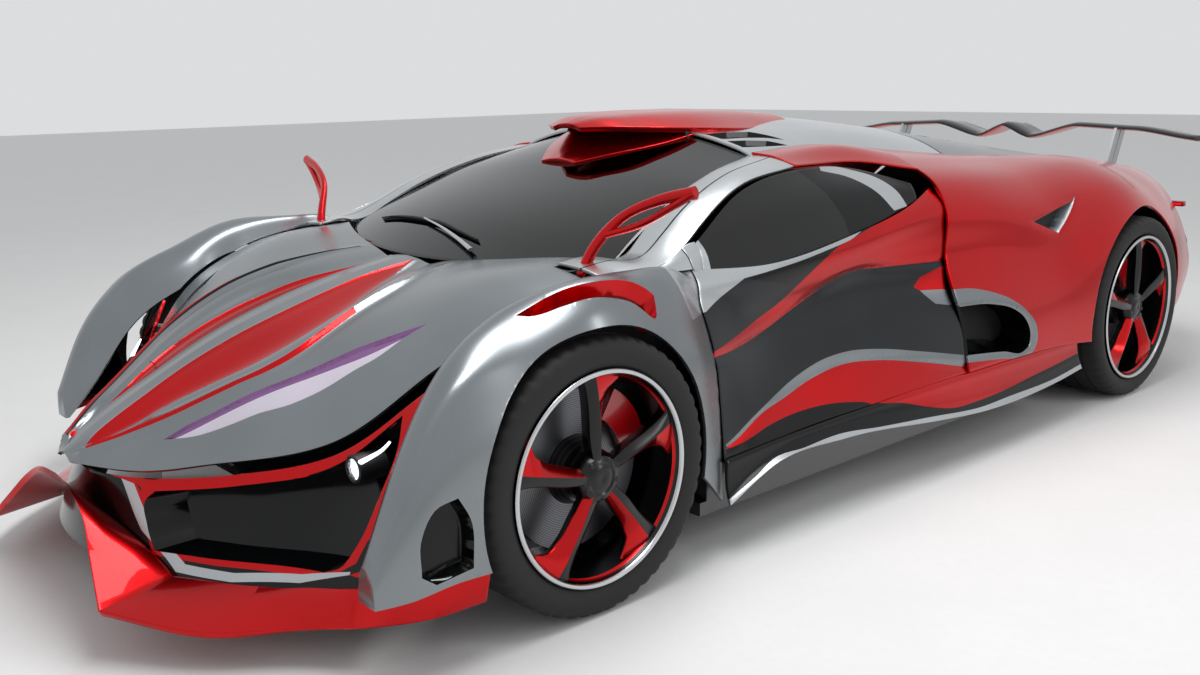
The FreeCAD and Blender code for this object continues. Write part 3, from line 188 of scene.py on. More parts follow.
# %% woven carbon
def twill():
    """Carbon tows, one over the other in squares."""
    made, tree, place = blank("carbon_twill")
    turned = node(tree, "ShaderNodeMapping", {"Rotation": (radians(35), radians(20), radians(45))},
                  {"Vector": place})
    tows = [node(tree, "ShaderNodeTexWave", {"Scale": 1 / (12 * MM)}, {"Vector": turned.outputs[0]},
                 bands_direction=axis)
            for axis in ("X", "Y")]
    over = node(tree, "ShaderNodeTexChecker", {"Scale": 1 / (12 * MM)}, {"Vector": turned.outputs[0]})
    weave = node(tree, "ShaderNodeMix", {}, {}, data_type="FLOAT")
    for socket, source in ((0, over.outputs["Fac"]), (2, tows[0].outputs["Fac"]), (3, tows[1].outputs["Fac"])):
        tree.links.new(source, weave.inputs[socket])
    tone = node(tree, "ShaderNodeValToRGB", {}, {"Fac": weave.outputs[0]})
    tone.color_ramp.elements[0].color = srgb("#0a0b0c")
    tone.color_ramp.elements[1].color = srgb("#26292c")
    bump = node(tree, "ShaderNodeBump", {"Strength": 0.5, "Distance": 0.2 * MM}, {"Height": weave.outputs[0]})
    body = node(tree, "ShaderNodeBsdfPrincipled", {"Roughness": 0.35, "Coat Weight": 0.8, "Coat Roughness": 0.08},
                {"Base Color": tone.outputs[0], "Normal": bump.outputs[0]})
    return finish(made, tree, body)


CARBON = twill()


# %% [markdown]
# The glass is toughened soda-lime, dyed almost black, so the cabin shows only
# as faint shapes. Clear polycarbonate covers the headlamps and a red acrylic
# the tail lamps. All three are smooth: their look is in what they let through
# and in the sharp reflection on top. The lamp chips glow a little.

# %% glass and lenses
def clear(name, colour, rough=0.0, ior=1.5):
    """A see-through piece; a faint waviness keeps its reflections from being perfect."""
    made, tree, place = blank(name)
    wave = node(tree, "ShaderNodeTexNoise", {"Scale": 2.5, "Detail": 1.0}, {"Vector": place})
    bump = node(tree, "ShaderNodeBump", {"Strength": 0.15, "Distance": 0.6 * MM}, {"Height": wave.outputs["Fac"]})
    body = node(tree, "ShaderNodeBsdfPrincipled",
                {"Base Color": srgb(colour), "Roughness": rough, "IOR": ior, "Transmission Weight": 1.0,
                 "Specular IOR Level": 0.3},
                {"Normal": bump.outputs[0]})
    return finish(made, tree, body)


def glowing(name, colour, strength):
    """A lamp face made of fine bright chips."""
    made, tree, place = blank(name)
    dots = node(tree, "ShaderNodeTexNoise", {"Scale": 120.0}, {"Vector": place})
    tone = node(tree, "ShaderNodeValToRGB", {}, {"Fac": dots.outputs["Fac"]})
    tone.color_ramp.elements[0].color = [c * 0.7 for c in srgb(colour)[:3]] + [1]
    tone.color_ramp.elements[1].color = srgb(colour)
    body = node(tree, "ShaderNodeBsdfPrincipled", {"Roughness": 0.2, "Emission Strength": strength},
                {"Base Color": tone.outputs[0], "Emission Color": tone.outputs[0]})
    return finish(made, tree, body)


TINTED = clear("dark_tinted_glass", "#1a201f")
LENS = clear("clear_polycarbonate_lens", "#e9eef2", ior=1.58)
RED_LENS = clear("red_acrylic_lens", "#a30d12", ior=1.49)
LAMP = glowing("led_lamp_face", "#f4f8ff", 2.0)
TAIL = glowing("red_led_strip", "#e01018", 1.0)
print("glass and lamps:", 5)


# %% [markdown]
# A car panel is drawn as a row of cross-sections. Each section is a short list
# of points, and a smooth curve runs through them, first across the panel and
# then along it. The mesh is one operator grid whose points are moved onto that
# surface, so it is all even quads, which is what makes reflections flow.
# Subdividing a coarse cage would do too, but its surface doesn't pass through
# the points that were measured, and these panels have to meet at even gaps.

# %% surface through sections
def cubic(knots, values, at):
    """A smooth curve through values at the knots, read at the positions in at."""
    knots, values = np.array(knots, float), np.array(values, float)
    step = np.diff(knots)
    slope = np.diff(values, axis=0) / step[:, None]
    tangent = np.empty_like(values)
    tangent[0], tangent[-1] = slope[0], slope[-1]
    share = (step[:-1] / (step[:-1] + step[1:]))[:, None]
    tangent[1:-1] = slope[:-1] * (1 - share) + slope[1:] * share
    k = np.clip(np.searchsorted(knots, at, side="right") - 1, 0, len(step) - 1)
    h = step[k][:, None]
    t = (at - knots[k])[:, None] / h
    return (values[k] * (1 + 2 * t) * (1 - t) ** 2 + tangent[k] * h * t * (1 - t) ** 2
            + values[k + 1] * t * t * (3 - 2 * t) + tangent[k + 1] * h * t * t * (t - 1))


def lengths(points):
    """Distance along a line of points, from its start."""
    return np.concatenate([[0], np.cumsum(np.linalg.norm(np.diff(points, axis=0), axis=1))])


def surface(rows, cell):
    """Points of the smooth surface through rows of (y, [(x, z), ...]), about cell mm apart."""
    sections = [np.array(points, float) for _, points in rows]
    runs = np.array([lengths(s) for s in sections])
    middle = runs.mean(axis=0)
    across = max(2, round(runs[:, -1].max() / cell))
    index = np.interp(np.linspace(0, middle[-1], across + 1), middle, np.arange(len(middle)))
    lines = [cubic(run, s, np.interp(index, np.arange(len(run)), run)) for run, s in zip(runs, sections)]
    ys = [y for y, _ in rows]
    along = max(2, round((ys[-1] - ys[0]) / cell))
    at = np.linspace(ys[0], ys[-1], along + 1)
    flat = cubic(ys, np.array(lines).reshape(len(rows), -1), at).reshape(along + 1, across + 1, 2)
    points = np.empty((along + 1, across + 1, 3))
    points[:, :, 0], points[:, :, 2] = flat[:, :, 0], flat[:, :, 1]
    points[:, :, 1] = at[:, None]
    return points


def grid(points):
    """A bmesh grid moved onto points, an array (rows, columns, 3) in mm."""
    n, m = points.shape[:2]
    bm = bmesh.new()
    bmesh.ops.create_grid(bm, x_segments=n - 1, y_segments=m - 1, size=1)
    if len(bm.verts) != n * m:
        raise ValueError("grid size")
    for v in bm.verts:
        i, j = round((v.co.x + 1) / 2 * (n - 1)), round((v.co.y + 1) / 2 * (m - 1))
        v.co = Vector(points[i, j]) * MM
    return bm


def face_out(bm, centre):
    """Turns all faces so that they look away from centre, in mm."""
    middle = Vector(centre) * MM
    if sum(f.normal.dot(f.calc_center_median() - middle) * f.calc_area() for f in bm.faces) < 0:
        bmesh.ops.reverse_faces(bm, faces=bm.faces)
    return bm


# %% [markdown]
# Colour lines, shut lines and openings are drawn flat on the side view or the
# plan and projected onto the panel, as a stylist tapes them. The faces under
# the line are split along it, so the edge is exact and not stepped, and then
# the faces inside the outline are recoloured, sunk or taken away. A colour is
# named by its place in the piece's own list of materials, from 0.

# %% drawing on a panel
FLAT = {"x": (1, 2), "y": (0, 2), "z": (0, 1)}  # the two axes that a drawing shows, by the axis it is seen along
NEAR = 0.02  # metres round a drawing within which faces can be split


def taped(*runs, step=14):
    """An outline in mm: each run of points is made smooth, and runs meet at corners."""
    out = []
    for run in runs:
        run = np.array(run, float)
        if len(run) > 2:
            along = lengths(run)
            count = max(2, round(along[-1] / step))
            run = cubic(along, run, np.linspace(0, along[-1], count + 1))
        out.extend(tuple(p) for p in run)
    return [p for i, p in enumerate(out) if i == 0 or hypot(p[0] - out[i - 1][0], p[1] - out[i - 1][1]) > 0.5]


def centres(faces, axis):
    """The middles of faces in mm, on the drawing seen along an axis."""
    p, q = FLAT[axis]
    return np.array([(c[p], c[q]) for c in (f.calc_center_median() for f in faces)]).reshape(-1, 2) / MM


def score(bm, line, axis, closed=True, where=None):
    """Splits the faces along a drawn line, seen along an axis. where(centre) limits it."""
    p, q = FLAT[axis]
    line = list(line)
    ends = line[1:] + line[:1] if closed else line[1:]
    low = [min(pt[k] for pt in line) * MM - NEAR for k in (0, 1)]
    high = [max(pt[k] for pt in line) * MM + NEAR for k in (0, 1)]
    pool = [f for f in bm.faces if (where is None or where(f.calc_center_median() / MM))
            and any(low[0] < v.co[p] < high[0] and low[1] < v.co[q] < high[1] for v in f.verts)]
    for (a0, a1), (b0, b1) in zip(line, ends):
        if hypot(b0 - a0, b1 - a1) < 0.3:
            continue
        box = (min(a0, b0) * MM - 1e-5, max(a0, b0) * MM + 1e-5, min(a1, b1) * MM - 1e-5, max(a1, b1) * MM + 1e-5)
        near = []
        for f in pool:
            us, vs = [v.co[p] for v in f.verts], [v.co[q] for v in f.verts]
            if max(us) >= box[0] and min(us) <= box[1] and max(vs) >= box[2] and min(vs) <= box[3]:
                near.append(f)
        if not near:
            continue
        start, normal = Vector((0, 0, 0)), Vector((0, 0, 0))
        start[p], start[q] = a0 * MM, a1 * MM
        normal[p], normal[q] = -(b1 - a1), b0 - a0
        edges = list(dict.fromkeys(e for f in near for e in f.edges))
        verts = list(dict.fromkeys(v for f in near for v in f.verts))
        cut = bmesh.ops.bisect_plane(bm, geom=near + edges + verts, dist=2e-6,
                                     plane_co=start, plane_no=normal.normalized())
        fresh = [g for g in cut["geom"] if isinstance(g, bmesh.types.BMFace)]
        pool = [f for f in dict.fromkeys(pool + fresh) if f.is_valid]


def within(bm, outline, axis, where=None):
    """The faces whose middle lies inside the outline, seen along an axis."""
    faces = [f for f in bm.faces if where is None or where(f.calc_center_median() / MM)]
    if not faces:
        return []
    at = centres(faces, axis)
    ring = np.array(outline)
    nxt = np.roll(ring, -1, axis=0)
    inside = np.zeros(len(faces), bool)
    for (x0, y0), (x1, y1) in zip(ring, nxt):
        if y0 == y1:
            continue
        crosses = (y0 > at[:, 1]) != (y1 > at[:, 1])
        inside ^= crosses & (at[:, 0] < (x1 - x0) * (at[:, 1] - y0) / (y1 - y0) + x0)
    return [f for f, hit in zip(faces, inside) if hit]


def colour_area(bm, outline, axis, index, where=None):
    """Gives the faces inside the outline another material."""
    score(bm, outline, axis, where=where)
    for f in within(bm, outline, axis, where):
        f.material_index = index


def open_up(bm, outline, axis, where=None):
    """Takes away the faces inside the outline."""
    score(bm, outline, axis, where=where)
    bmesh.ops.delete(bm, geom=within(bm, outline, axis, where), context="FACES")


def pocket(bm, outline, axis, move, wall, floor, shrink=0.9, where=None):
    """Sinks the faces inside the outline by move, in mm, with walls of another material."""
    score(bm, outline, axis, where=where)
    faces = within(bm, outline, axis, where)
    made = bmesh.ops.extrude_face_region(bm, geom=faces)
    bmesh.ops.delete(bm, geom=[f for f in faces if f.is_valid], context="FACES")
    verts = [g for g in made["geom"] if isinstance(g, bmesh.types.BMVert)]
    inner = [g for g in made["geom"] if isinstance(g, bmesh.types.BMFace)]
    middle = sum((v.co for v in verts), Vector()) / len(verts)
    for v in verts:
        v.co = middle + (v.co - middle) * shrink + Vector(move) * MM
    for f in inner:
        f.material_index = floor
    for f in {f for v in verts for f in v.link_faces} - set(inner):
        f.material_index = wall


def groove(bm, line, axis, depth, width, closed=False, where=None, share=lambda c: 1.0):
    """Presses the surface in along a drawn line, to depth mm at the line and none at width mm.
    share(point) eases it off."""
    p, q = FLAT[axis]
    verts = [v for v in bm.verts if where is None or where(v.co / MM)]
    at = np.array([(v.co[p], v.co[q]) for v in verts]) / MM
    ring = np.array(line, float)
    ends = np.roll(ring, -1, axis=0) if closed else ring[1:]
    best = np.full(len(verts), 1e9)
    for a, b in zip(ring, ends):
        along = b - a
        size = along @ along
        if size < 1e-6:
            continue
        t = np.clip(((at - a) @ along) / size, 0, 1)
        best = np.minimum(best, np.linalg.norm(at - (a + t[:, None] * along), axis=1))
    bm.normal_update()
    shift = [(v, depth * share(v.co / MM) * (1 - d / width) ** 1.5) for v, d in zip(verts, best) if d < width]
    normals = [v.normal.copy() for v, _ in shift]
    for (v, press), n in zip(shift, normals):
        v.co -= n * press * MM


# %% [markdown]
# A finished piece gets its thickness, a small radius on its edges and smooth
# shading that stops at real corners. The modifiers are applied once so that
# the shading can be set on the final faces.

# %% from bmesh to piece
def piece(bm, name, materials, body, slot, replaced=(), thick=0.0, edge=0.0, smooth=38, levels=0):
    """Makes the bmesh an object that rides a body. thick and edge are in mm, smooth in degrees."""
    bmesh.ops.dissolve_degenerate(bm, dist=1.5e-4, edges=bm.edges)
    mesh = bpy.data.meshes.new(name)
    bm.to_mesh(mesh)
    bm.free()
    for m in materials:
        mesh.materials.append(m)
    obj = bpy.data.objects.new(name, mesh)
    bpy.context.scene.collection.objects.link(obj)
    if thick:
        wall = obj.modifiers.new("thickness", "SOLIDIFY")
        wall.thickness, wall.offset = thick * MM, -1
    if edge:
        soft = obj.modifiers.new("edges", "BEVEL")
        soft.width, soft.segments, soft.limit_method, soft.angle_limit = edge * MM, 2, "ANGLE", radians(50)
    if levels:
        sub = obj.modifiers.new("smooth", "SUBSURF")
        sub.levels = sub.render_levels = levels
    if obj.modifiers:
        bpy.context.view_layer.update()
        ready = bpy.data.meshes.new_from_object(obj.evaluated_get(bpy.context.evaluated_depsgraph_get()))
        obj.modifiers.clear()
        obj.data = ready
        bpy.data.meshes.remove(mesh)
        ready.name = name
    obj.data.shade_smooth()
    obj.data.set_sharp_from_angle(angle=radians(smooth))
    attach(obj, body)
    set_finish(obj, slot)
    if replaced:
        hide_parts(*replaced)
    return obj


def other_side(obj, name, body, replaced=()):
    """The same piece mirrored to the right-hand side."""
    mesh = obj.data.copy()
    mesh.transform(Matrix.Diagonal((-1, 1, 1, 1)))
    mesh.flip_normals()
    mesh.name = name
    twin = bpy.data.objects.new(name, mesh)
    bpy.context.scene.collection.objects.link(twin)
    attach(twin, body)
    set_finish(twin, obj["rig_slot"])
    if replaced:
        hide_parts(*replaced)
    return twin


def mirrored(bm):
    """Adds the other half of a piece that crosses the middle of the car."""
    geom = list(bm.verts) + list(bm.edges) + list(bm.faces)
    bmesh.ops.mirror(bm, geom=geom, axis="X", merge_dist=1e-5)
    bmesh.ops.remove_doubles(bm, verts=bm.verts, dist=1e-5)
    bmesh.ops.recalc_face_normals(bm, faces=bm.faces)
    return bm


def merged_copy(name):
    """A copy of a CAD node's loose triangles, merged, with one material slot."""
    bm = bmesh.new()
    bm.from_mesh(nodes[name].data)
    bmesh.ops.remove_doubles(bm, verts=bm.verts, dist=2e-5)
    for f in bm.faces:
        f.material_index = 0
    return bm


# %% [markdown]
# The bonnet is one moulding that starts at a beak and rises to the windscreen.
# A spine runs along its middle with a red flank on each side, then a groove
# with a black foot, and a long leaf is let into each shoulder. Its pale face
# is a painted highlight, and the violet along its top edge is a painted
# reflection of violet light.
# Half of it is drawn, from the middle outwards, and mirrored. The groove is
# scored along its length first, so that the faces follow it as it is pressed.

# %% bonnet
BONNET = [
    (-2214, [(0, 368), (8, 367), (14, 365), (18, 364), (24, 362), (32, 358), (45, 351)]),
    (-2150, [(0, 410), (40, 405), (76, 386), (92, 391), (118, 386), (150, 374), (190, 353)]),
    (-2000, [(0, 494), (44, 488), (128, 463), (152, 474), (200, 464), (280, 428), (352, 370)]),
    (-1800, [(0, 588), (52, 582), (216, 550), (244, 566), (330, 560), (450, 516), (572, 430)]),
    (-1600, [(0, 654), (60, 648), (224, 626), (252, 646), (370, 655), (530, 638), (708, 592)]),
    (-1350, [(0, 713), (52, 708), (122, 694), (160, 706), (340, 724), (580, 735), (770, 700)]),
    (-1048, [(0, 750), (60, 746), (120, 740), (170, 744), (390, 763), (620, 767), (798, 742)])]
FLANK = taped([(44, -2178), (45, -2048), (44, -1940), (53, -1807), (60, -1690), (62, -1546), (56, -1400),
               (62, -1240)],
              [(62, -1240), (122, -1361), (198, -1522), (224, -1636), (226, -1719), (214, -1807), (192, -1873),
               (165, -1933), (126, -2007), (102, -2070), (75, -2132), (60, -2178), (44, -2178)])
GROOVE = taped([(62, -2184), (122, -2118), (174, -2043), (219, -1970), (266, -1893), (300, -1838), (328, -1759),
                (332, -1660), (318, -1557), (286, -1410), (236, -1240)])
# A groove has a black foot and, as far back as its wall stands, a red outer wall.
GROOVE_DEPTH, GROOVE_WIDTH, GROOVE_FOOT, GROOVE_WALL, WALL_END = 15, 26, 7, 15, -1580
FADE_END, FADE_LENGTH = -1240, 240
LEAF_TOP = [(228, -2056), (248, -2005), (277, -1960), (326, -1880), (374, -1815), (420, -1746), (463, -1678),
            (510, -1622), (576, -1542)]
LEAF_FOOT = [(576, -1542), (562, -1589), (544, -1653), (512, -1707), (479, -1769), (436, -1831), (380, -1890),
             (338, -1942), (289, -1998), (228, -2056)]
LEAF = taped(LEAF_TOP, LEAF_FOOT)
# The violet area along the leaf's upper edge: a painted reflection of violet light.
LEAF_REFLECTION_EDGE = taped(LEAF_TOP, [(576, -1542), (520, -1642), (452, -1728), (392, -1806), (338, -1880), (292, -1950),
                              (228, -2056)])
# The rear edge follows the foot of the windscreen, a parabola.
SCREEN_LINE = [(x, -1226 + 185 * (x / 650) ** 2) for x in range(0, 612, 36)]

bonnet = face_out(grid(surface(BONNET, 8)), (0, -1600, 0))
for aside in (-21, -12, -5, 3, 11, 19, 28):
    score(bonnet, [(x + aside, y) for x, y in GROOVE], "z", closed=False)
groove(bonnet, [(x + 3, y) for x, y in GROOVE], "z", GROOVE_DEPTH, GROOVE_WIDTH,
       share=lambda c: min(1, max(0.15, (FADE_END - c[1]) / FADE_LENGTH)))
colour_area(bonnet, [(x - GROOVE_FOOT + 2, y) for x, y in GROOVE] + [(x + 2, y) for x, y in GROOVE[::-1]], "z", 2)
wall_line = [p for p in GROOVE if p[1] < WALL_END]
colour_area(bonnet, [(x + 2, y) for x, y in wall_line] + [(x + 2 + GROOVE_WALL, y) for x, y in wall_line[::-1]],
            "z", 1)
colour_area(bonnet, FLANK, "z", 1)
groove(bonnet, FLANK, "z", 3.5, 11, closed=True)
# The leaf's floor is pale pearl: a painted highlight.
pocket(bonnet, LEAF, "z", (0, 0, -9), 3, 4, shrink=0.985)
# The violet along the leaf's upper edge is a painted reflection of violet light.
colour_area(bonnet, LEAF_REFLECTION_EDGE, "z", 5, where=lambda c: c[0] > 200)
open_up(bonnet, SCREEN_LINE + [(612, -1180), (900, -1180), (900, -900), (0, -900)], "z")
bonnet = face_out(mirrored(bonnet), (0, -1600, 0))
bonnet = piece(bonnet, "bonnet_shell", [GUNMETAL, RED, BLACK, SATIN_BLACK, LEAF_HIGHLIGHT, VIOLET_REFLECTION], "bonnet",
               "satin_gunmetal_paint", ("bonnet",), thick=9, edge=1.6)
print("bonnet faces:", len(bonnet.data.polygons))

# %% [markdown]
# A front fender stands clear of the bonnet as a rounded pod around the tyre.
# A red slot lies along its crest, where air leaves the wheel house, and a tall
# black vent with a bright lip is let into its nose. The wheel opening is cut
# as a circle round the axle, and one face closes the front row of the sections.

# %% front fenders
FENDER = [
    (-1945, [(896, 190), (902, 240), (918, 280), (944, 280), (956, 246), (960, 212), (962, 165)]),
    (-1860, [(846, 312), (880, 400), (922, 460), (950, 456), (974, 400), (988, 290), (984, 165)]),
    (-1750, [(812, 470), (842, 545), (888, 598), (935, 594), (975, 520), (998, 360), (996, 165)]),
    (-1540, [(748, 616), (790, 694), (850, 720), (936, 672), (992, 560), (1010, 440), (1006, 300)]),
    (-1350, [(796, 698), (830, 756), (880, 774), (957, 730), (1006, 622), (1012, 500), (1006, 400)]),
    (-1150, [(818, 732), (850, 772), (892, 764), (942, 694), (978, 582), (994, 450), (990, 330)]),
    (-1000, [(822, 740), (850, 758), (878, 728), (912, 640), (945, 550), (962, 410), (966, 240)]),
    (-905, [(822, 738), (842, 710), (852, 660), (880, 595), (905, 525), (925, 390), (938, 150)])]


def circle(y, z, radius, count=96):
    """An outline round (y, z) on the side view."""
    return [(y + radius * cos(2 * pi * k / count), z + radius * sin(2 * pi * k / count)) for k in range(count)]


# Axles as (y, z), tyre radii, and the room left between tyre and arch, in mm.
FRONT_AXLE, REAR_AXLE = (-1350, 330), (1350, 342)
FRONT_TYRE, REAR_TYRE = 330, 342
FRONT_ARCH_GAP, REAR_ARCH_GAP = 26, 36
SLOT = taped([(884, -1516), (894, -1416), (905, -1324), (912, -1203), (926, -1138)],
             [(926, -1138), (948, -1150), (950, -1240), (944, -1330), (930, -1420), (900, -1500), (884, -1516)])
FENDER_VENT = taped([(-1852, 252), (-1848, 330), (-1812, 386), (-1760, 398)],
                    [(-1760, 398), (-1736, 350), (-1732, 240)],
                    [(-1732, 240), (-1820, 228)], [(-1820, 228), (-1852, 252)])
SILVER_CORNER = [(-1045, 790), (-1028, 735), (-985, 634), (-880, 634), (-880, 800)]

fender = face_out(grid(surface(FENDER, 11)), (850, -1350, 300))
outer = lambda c: c[0] > 900
open_up(fender, circle(*FRONT_AXLE, FRONT_TYRE + FRONT_ARCH_GAP), "x")
open_up(fender, taped([(-1980, 200), (-1882, 204), (-1780, 216), (-1660, 214)]) + [(-1660, 100), (-1980, 100)], "x")
colour_area(fender, SILVER_CORNER, "x", 4, where=lambda c: c[1] > -1100)
# The slot's floor takes the darker red, painted shade at the bottom of the slot.
pocket(fender, SLOT, "z", (-14, 0, -34), 1, 2, shrink=0.9, where=lambda c: c[2] > 560)
pocket(fender, FENDER_VENT, "x", (-34, 0, 0), 3, 3, shrink=0.88, where=outer)
nose_row = sorted((v for v in fender.verts if abs(v.co.y / MM - FENDER[0][0]) < 1), key=lambda v: v.co.x)
fender.faces.new(nose_row)
bmesh.ops.recalc_face_normals(fender, faces=fender.faces)
face_out(fender, (850, -1350, 300))
left_fender = piece(fender, "front_fender_shell_left", [GUNMETAL, RED, PAINTED_SHADE_RED, BLACK, SILVER], "body",
                    "satin_gunmetal_paint", ("front_fender_left",), thick=9, edge=1.6)
other_side(left_fender, "front_fender_shell_right", "body", ("front_fender_right",))
print("fender faces:", len(left_fender.data.polygons))

# %% [markdown]
# Each door is deeply waisted. A red spear starts at a point behind the front
# wheel, sweeps up to the window line and turns into the rear haunch. Below it
# the door is dark grey, and a red sill with a light edge runs along its foot.
# The lines are taped on the side view, and every colour is one area of one
# panel, as it is on the painted door, except the black triangle under the
# front of the waist: that is a painted dark reflection in the gunmetal.

# %% doors
DOOR = [
    (-899, [(822, 738), (842, 710), (852, 660), (880, 595), (905, 525), (925, 390), (938, 255)]),
    (-600, [(838, 722), (842, 694), (835, 645), (822, 590), (828, 520), (885, 400), (940, 275)]),
    (-250, [(838, 762), (845, 728), (832, 675), (812, 610), (828, 530), (895, 430), (955, 285)]),
    (80, [(826, 828), (850, 790), (850, 728), (842, 650), (848, 560), (925, 440), (965, 292)]),
    (207, [(802, 866), (850, 815), (860, 738), (861, 655), (876, 560), (937, 435), (966, 292)])]
SPEAR_TOP = [(-930, 536), (-864, 541), (-747, 555), (-640, 577), (-545, 605), (-474, 650), (-397, 698), (-317, 736),
             (-250, 752), (-120, 786), (20, 822), (120, 860), (240, 900)]
SPEAR_FOOT = [(215, 638), (102, 640), (-85, 646), (-184, 650), (-252, 643), (-319, 627), (-400, 598), (-496, 567),
              (-592, 541), (-700, 525), (-818, 521), (-930, 526)]
WAIST = [(-720, 697), (-634, 702), (-487, 716), (-316, 740), (-240, 755), (-200, 770)]
BORDER = [(-890, 296), (-866, 304), (-807, 327), (-656, 374), (-545, 404), (-394, 432), (-304, 436), (-180, 424),
          (-8, 392), (215, 345)]
SILL = [(-880, 288), (-843, 299), (-738, 338), (-608, 363), (-484, 390), (-340, 407), (-193, 395), (-19, 362),
        (215, 308)]
SILL_FOOT = [(-240, 262), (-300, 292), (-370, 306), (-574, 318), (-705, 308), (-827, 287), (-890, 284)]

door = face_out(grid(surface(DOOR, 10)), (500, -350, 550))
colour_area(door, taped(WAIST) + [(-100, 900), (-940, 900), (-940, 634), (-887, 634), (-720, 697)], "x", 2)
# This black triangle is a painted dark reflection: gunmetal that mirrors dark surroundings, drawn black.
colour_area(door, [(-722, 697)] + taped([(-634, 702), (-487, 716), (-316, 740)])
            + taped([(-316, 740), (-395, 692), (-495, 645), (-552, 660)]), "x", 3)
colour_area(door, taped(BORDER) + taped(SILL[::-1]), "x", 4)
colour_area(door, taped(SILL) + [(240, 200), (-240, 200)] + taped(SILL_FOOT), "x", 1)
colour_area(door, taped(SILL_FOOT[::-1]) + [(-240, 200), (-940, 200)], "x", 3)
colour_area(door, taped(SPEAR_TOP) + taped(SPEAR_FOOT), "x", 1)
colour_area(door, [(74, 569), (104, 596), (230, 630), (230, 545), (98, 556)], "x", 1)
colour_area(door, taped([(98, 556), (160, 552), (230, 547)]) + [(230, 502), (190, 503), (140, 512)], "x", 4)
groove(door, taped(SPEAR_FOOT), "x", 5, 22)
groove(door, taped(SILL), "x", 4, 16)
left_door = piece(door, "door_shell_left", [DARK_GREY, RED, SILVER, BLACK, GUNMETAL], "door_left",
                  "satin_gunmetal_paint", ("door_left",), thick=9, edge=1.0)
other_side(left_door, "door_shell_right", "door_right", ("door_right",))
print("door faces:", len(left_door.data.polygons))

# %% [markdown]
# The haunch is the widest part of the body. It swells over the rear tyre, is
# let in deeply at the big side intake, and carries a three-cornered vent. The
# red roof band carries its line forward over the side window.

# %% haunches
HAUNCH = [
    (210.5, [(520, 974), (690, 936), (815, 868), (858, 790), (861, 655), (937, 435), (966, 292)]),
    (450, [(520, 950), (676, 922), (820, 862), (880, 785), (892, 650), (955, 430), (970, 292)]),
    (750, [(520, 922), (668, 906), (822, 852), (905, 762), (938, 600), (976, 430), (980, 288)]),
    (1300, [(520, 885), (658, 893), (800, 872), (930, 798), (1012, 650), (1022, 470), (1012, 250)]),
    (1750, [(520, 845), (662, 840), (838, 758), (918, 655), (962, 555), (976, 430), (966, 280)]),
    (2120, [(520, 808), (640, 780), (735, 712), (805, 610), (848, 500), (866, 420), (862, 350)])]
BAND = [
    (-330, [(524, 986), (610, 977), (688, 955)]),
    (0, [(520, 994), (618, 990), (696, 947)]),
    (212, [(520, 974), (650, 958), (752, 914)])]
INTAKE = taped([(190, 342), (420, 318), (545, 300), (582, 318), (590, 362), (560, 418), (500, 458), (400, 486),
                (190, 502)])
INTAKE_RIM = taped([(190, 548), (300, 540), (395, 518), (488, 484), (565, 436), (618, 378), (622, 322), (590, 292),
                    (545, 284), (420, 300), (190, 324)])
QUARTER_VENT = [(640, 725), (800, 668), (950, 782)]

haunch = face_out(grid(surface(HAUNCH, 13)), (500, 1100, 400))
side = lambda c: c[0] > 700
colour_area(haunch, INTAKE_RIM + [(150, 324), (150, 548)], "x", 1, where=side)
pocket(haunch, INTAKE + [(150, 342), (150, 502)], "x", (-120, 60, 0), 2, 3, shrink=0.8, where=side)
pocket(haunch, taped(*[[QUARTER_VENT[k - 1], QUARTER_VENT[k]] for k in (1, 2, 0)]),
       "x", (-46, 10, 0), 4, 3, shrink=0.84, where=side)
open_up(haunch, circle(*REAR_AXLE, REAR_TYRE + REAR_ARCH_GAP), "x", where=side)
left_haunch = piece(haunch, "haunch_shell_left", [RED, GUNMETAL, BLACK, MATT_BLACK, SILVER], "body", "red_paint",
                    ("haunch_left",), thick=9, edge=1.0)
other_side(left_haunch, "haunch_shell_right", "body", ("haunch_right",))
band = face_out(grid(surface(BAND, 10)), (500, 0, 800))
left_band = piece(band, "roof_band_left", [RED], "body", "red_paint", thick=9, edge=1.8)
other_side(left_band, "roof_band_right", "body")
print("haunch faces:", len(left_haunch.data.polygons))


# %% [markdown]
# Blades, lips, loops and spokes are closed tubes of changing section. A grid
# is rolled up: its rows are the sections, its first and last columns are
# merged, and the two open ends are filled.

# %% rolled sections
def rolled(points, paint=None, caps=True):
    """A closed tube through sections, an array (sections, points round, 3) in mm.
    paint(row, column) gives a face its material."""
    points = np.array(points, float)
    ring = np.concatenate([points, points[:, :1]], axis=1)
    bm = bmesh.new()
    n, m = ring.shape[:2]
    bmesh.ops.create_grid(bm, x_segments=n - 1, y_segments=m - 1, size=1)
    at = {v: (round((v.co.x + 1) / 2 * (n - 1)), round((v.co.y + 1) / 2 * (m - 1))) for v in bm.verts}
    if paint:
        for f in bm.faces:
            f.material_index = paint(min(at[v][0] for v in f.verts), min(at[v][1] for v in f.verts))
    for v, (i, j) in at.items():
        v.co = Vector(ring[i, j]) * MM
    bmesh.ops.remove_doubles(bm, verts=bm.verts, dist=2e-5)
    if caps:
        bmesh.ops.holes_fill(bm, edges=[e for e in bm.edges if e.is_boundary])
    bmesh.ops.recalc_face_normals(bm, faces=bm.faces)
    return bm


def smooth_path(points, step):
    """A line of points made smooth, with points step mm apart."""
    points = np.array(points, float)
    along = lengths(points)
    return cubic(along, points, np.linspace(0, along[-1], max(2, round(along[-1] / step)) + 1))


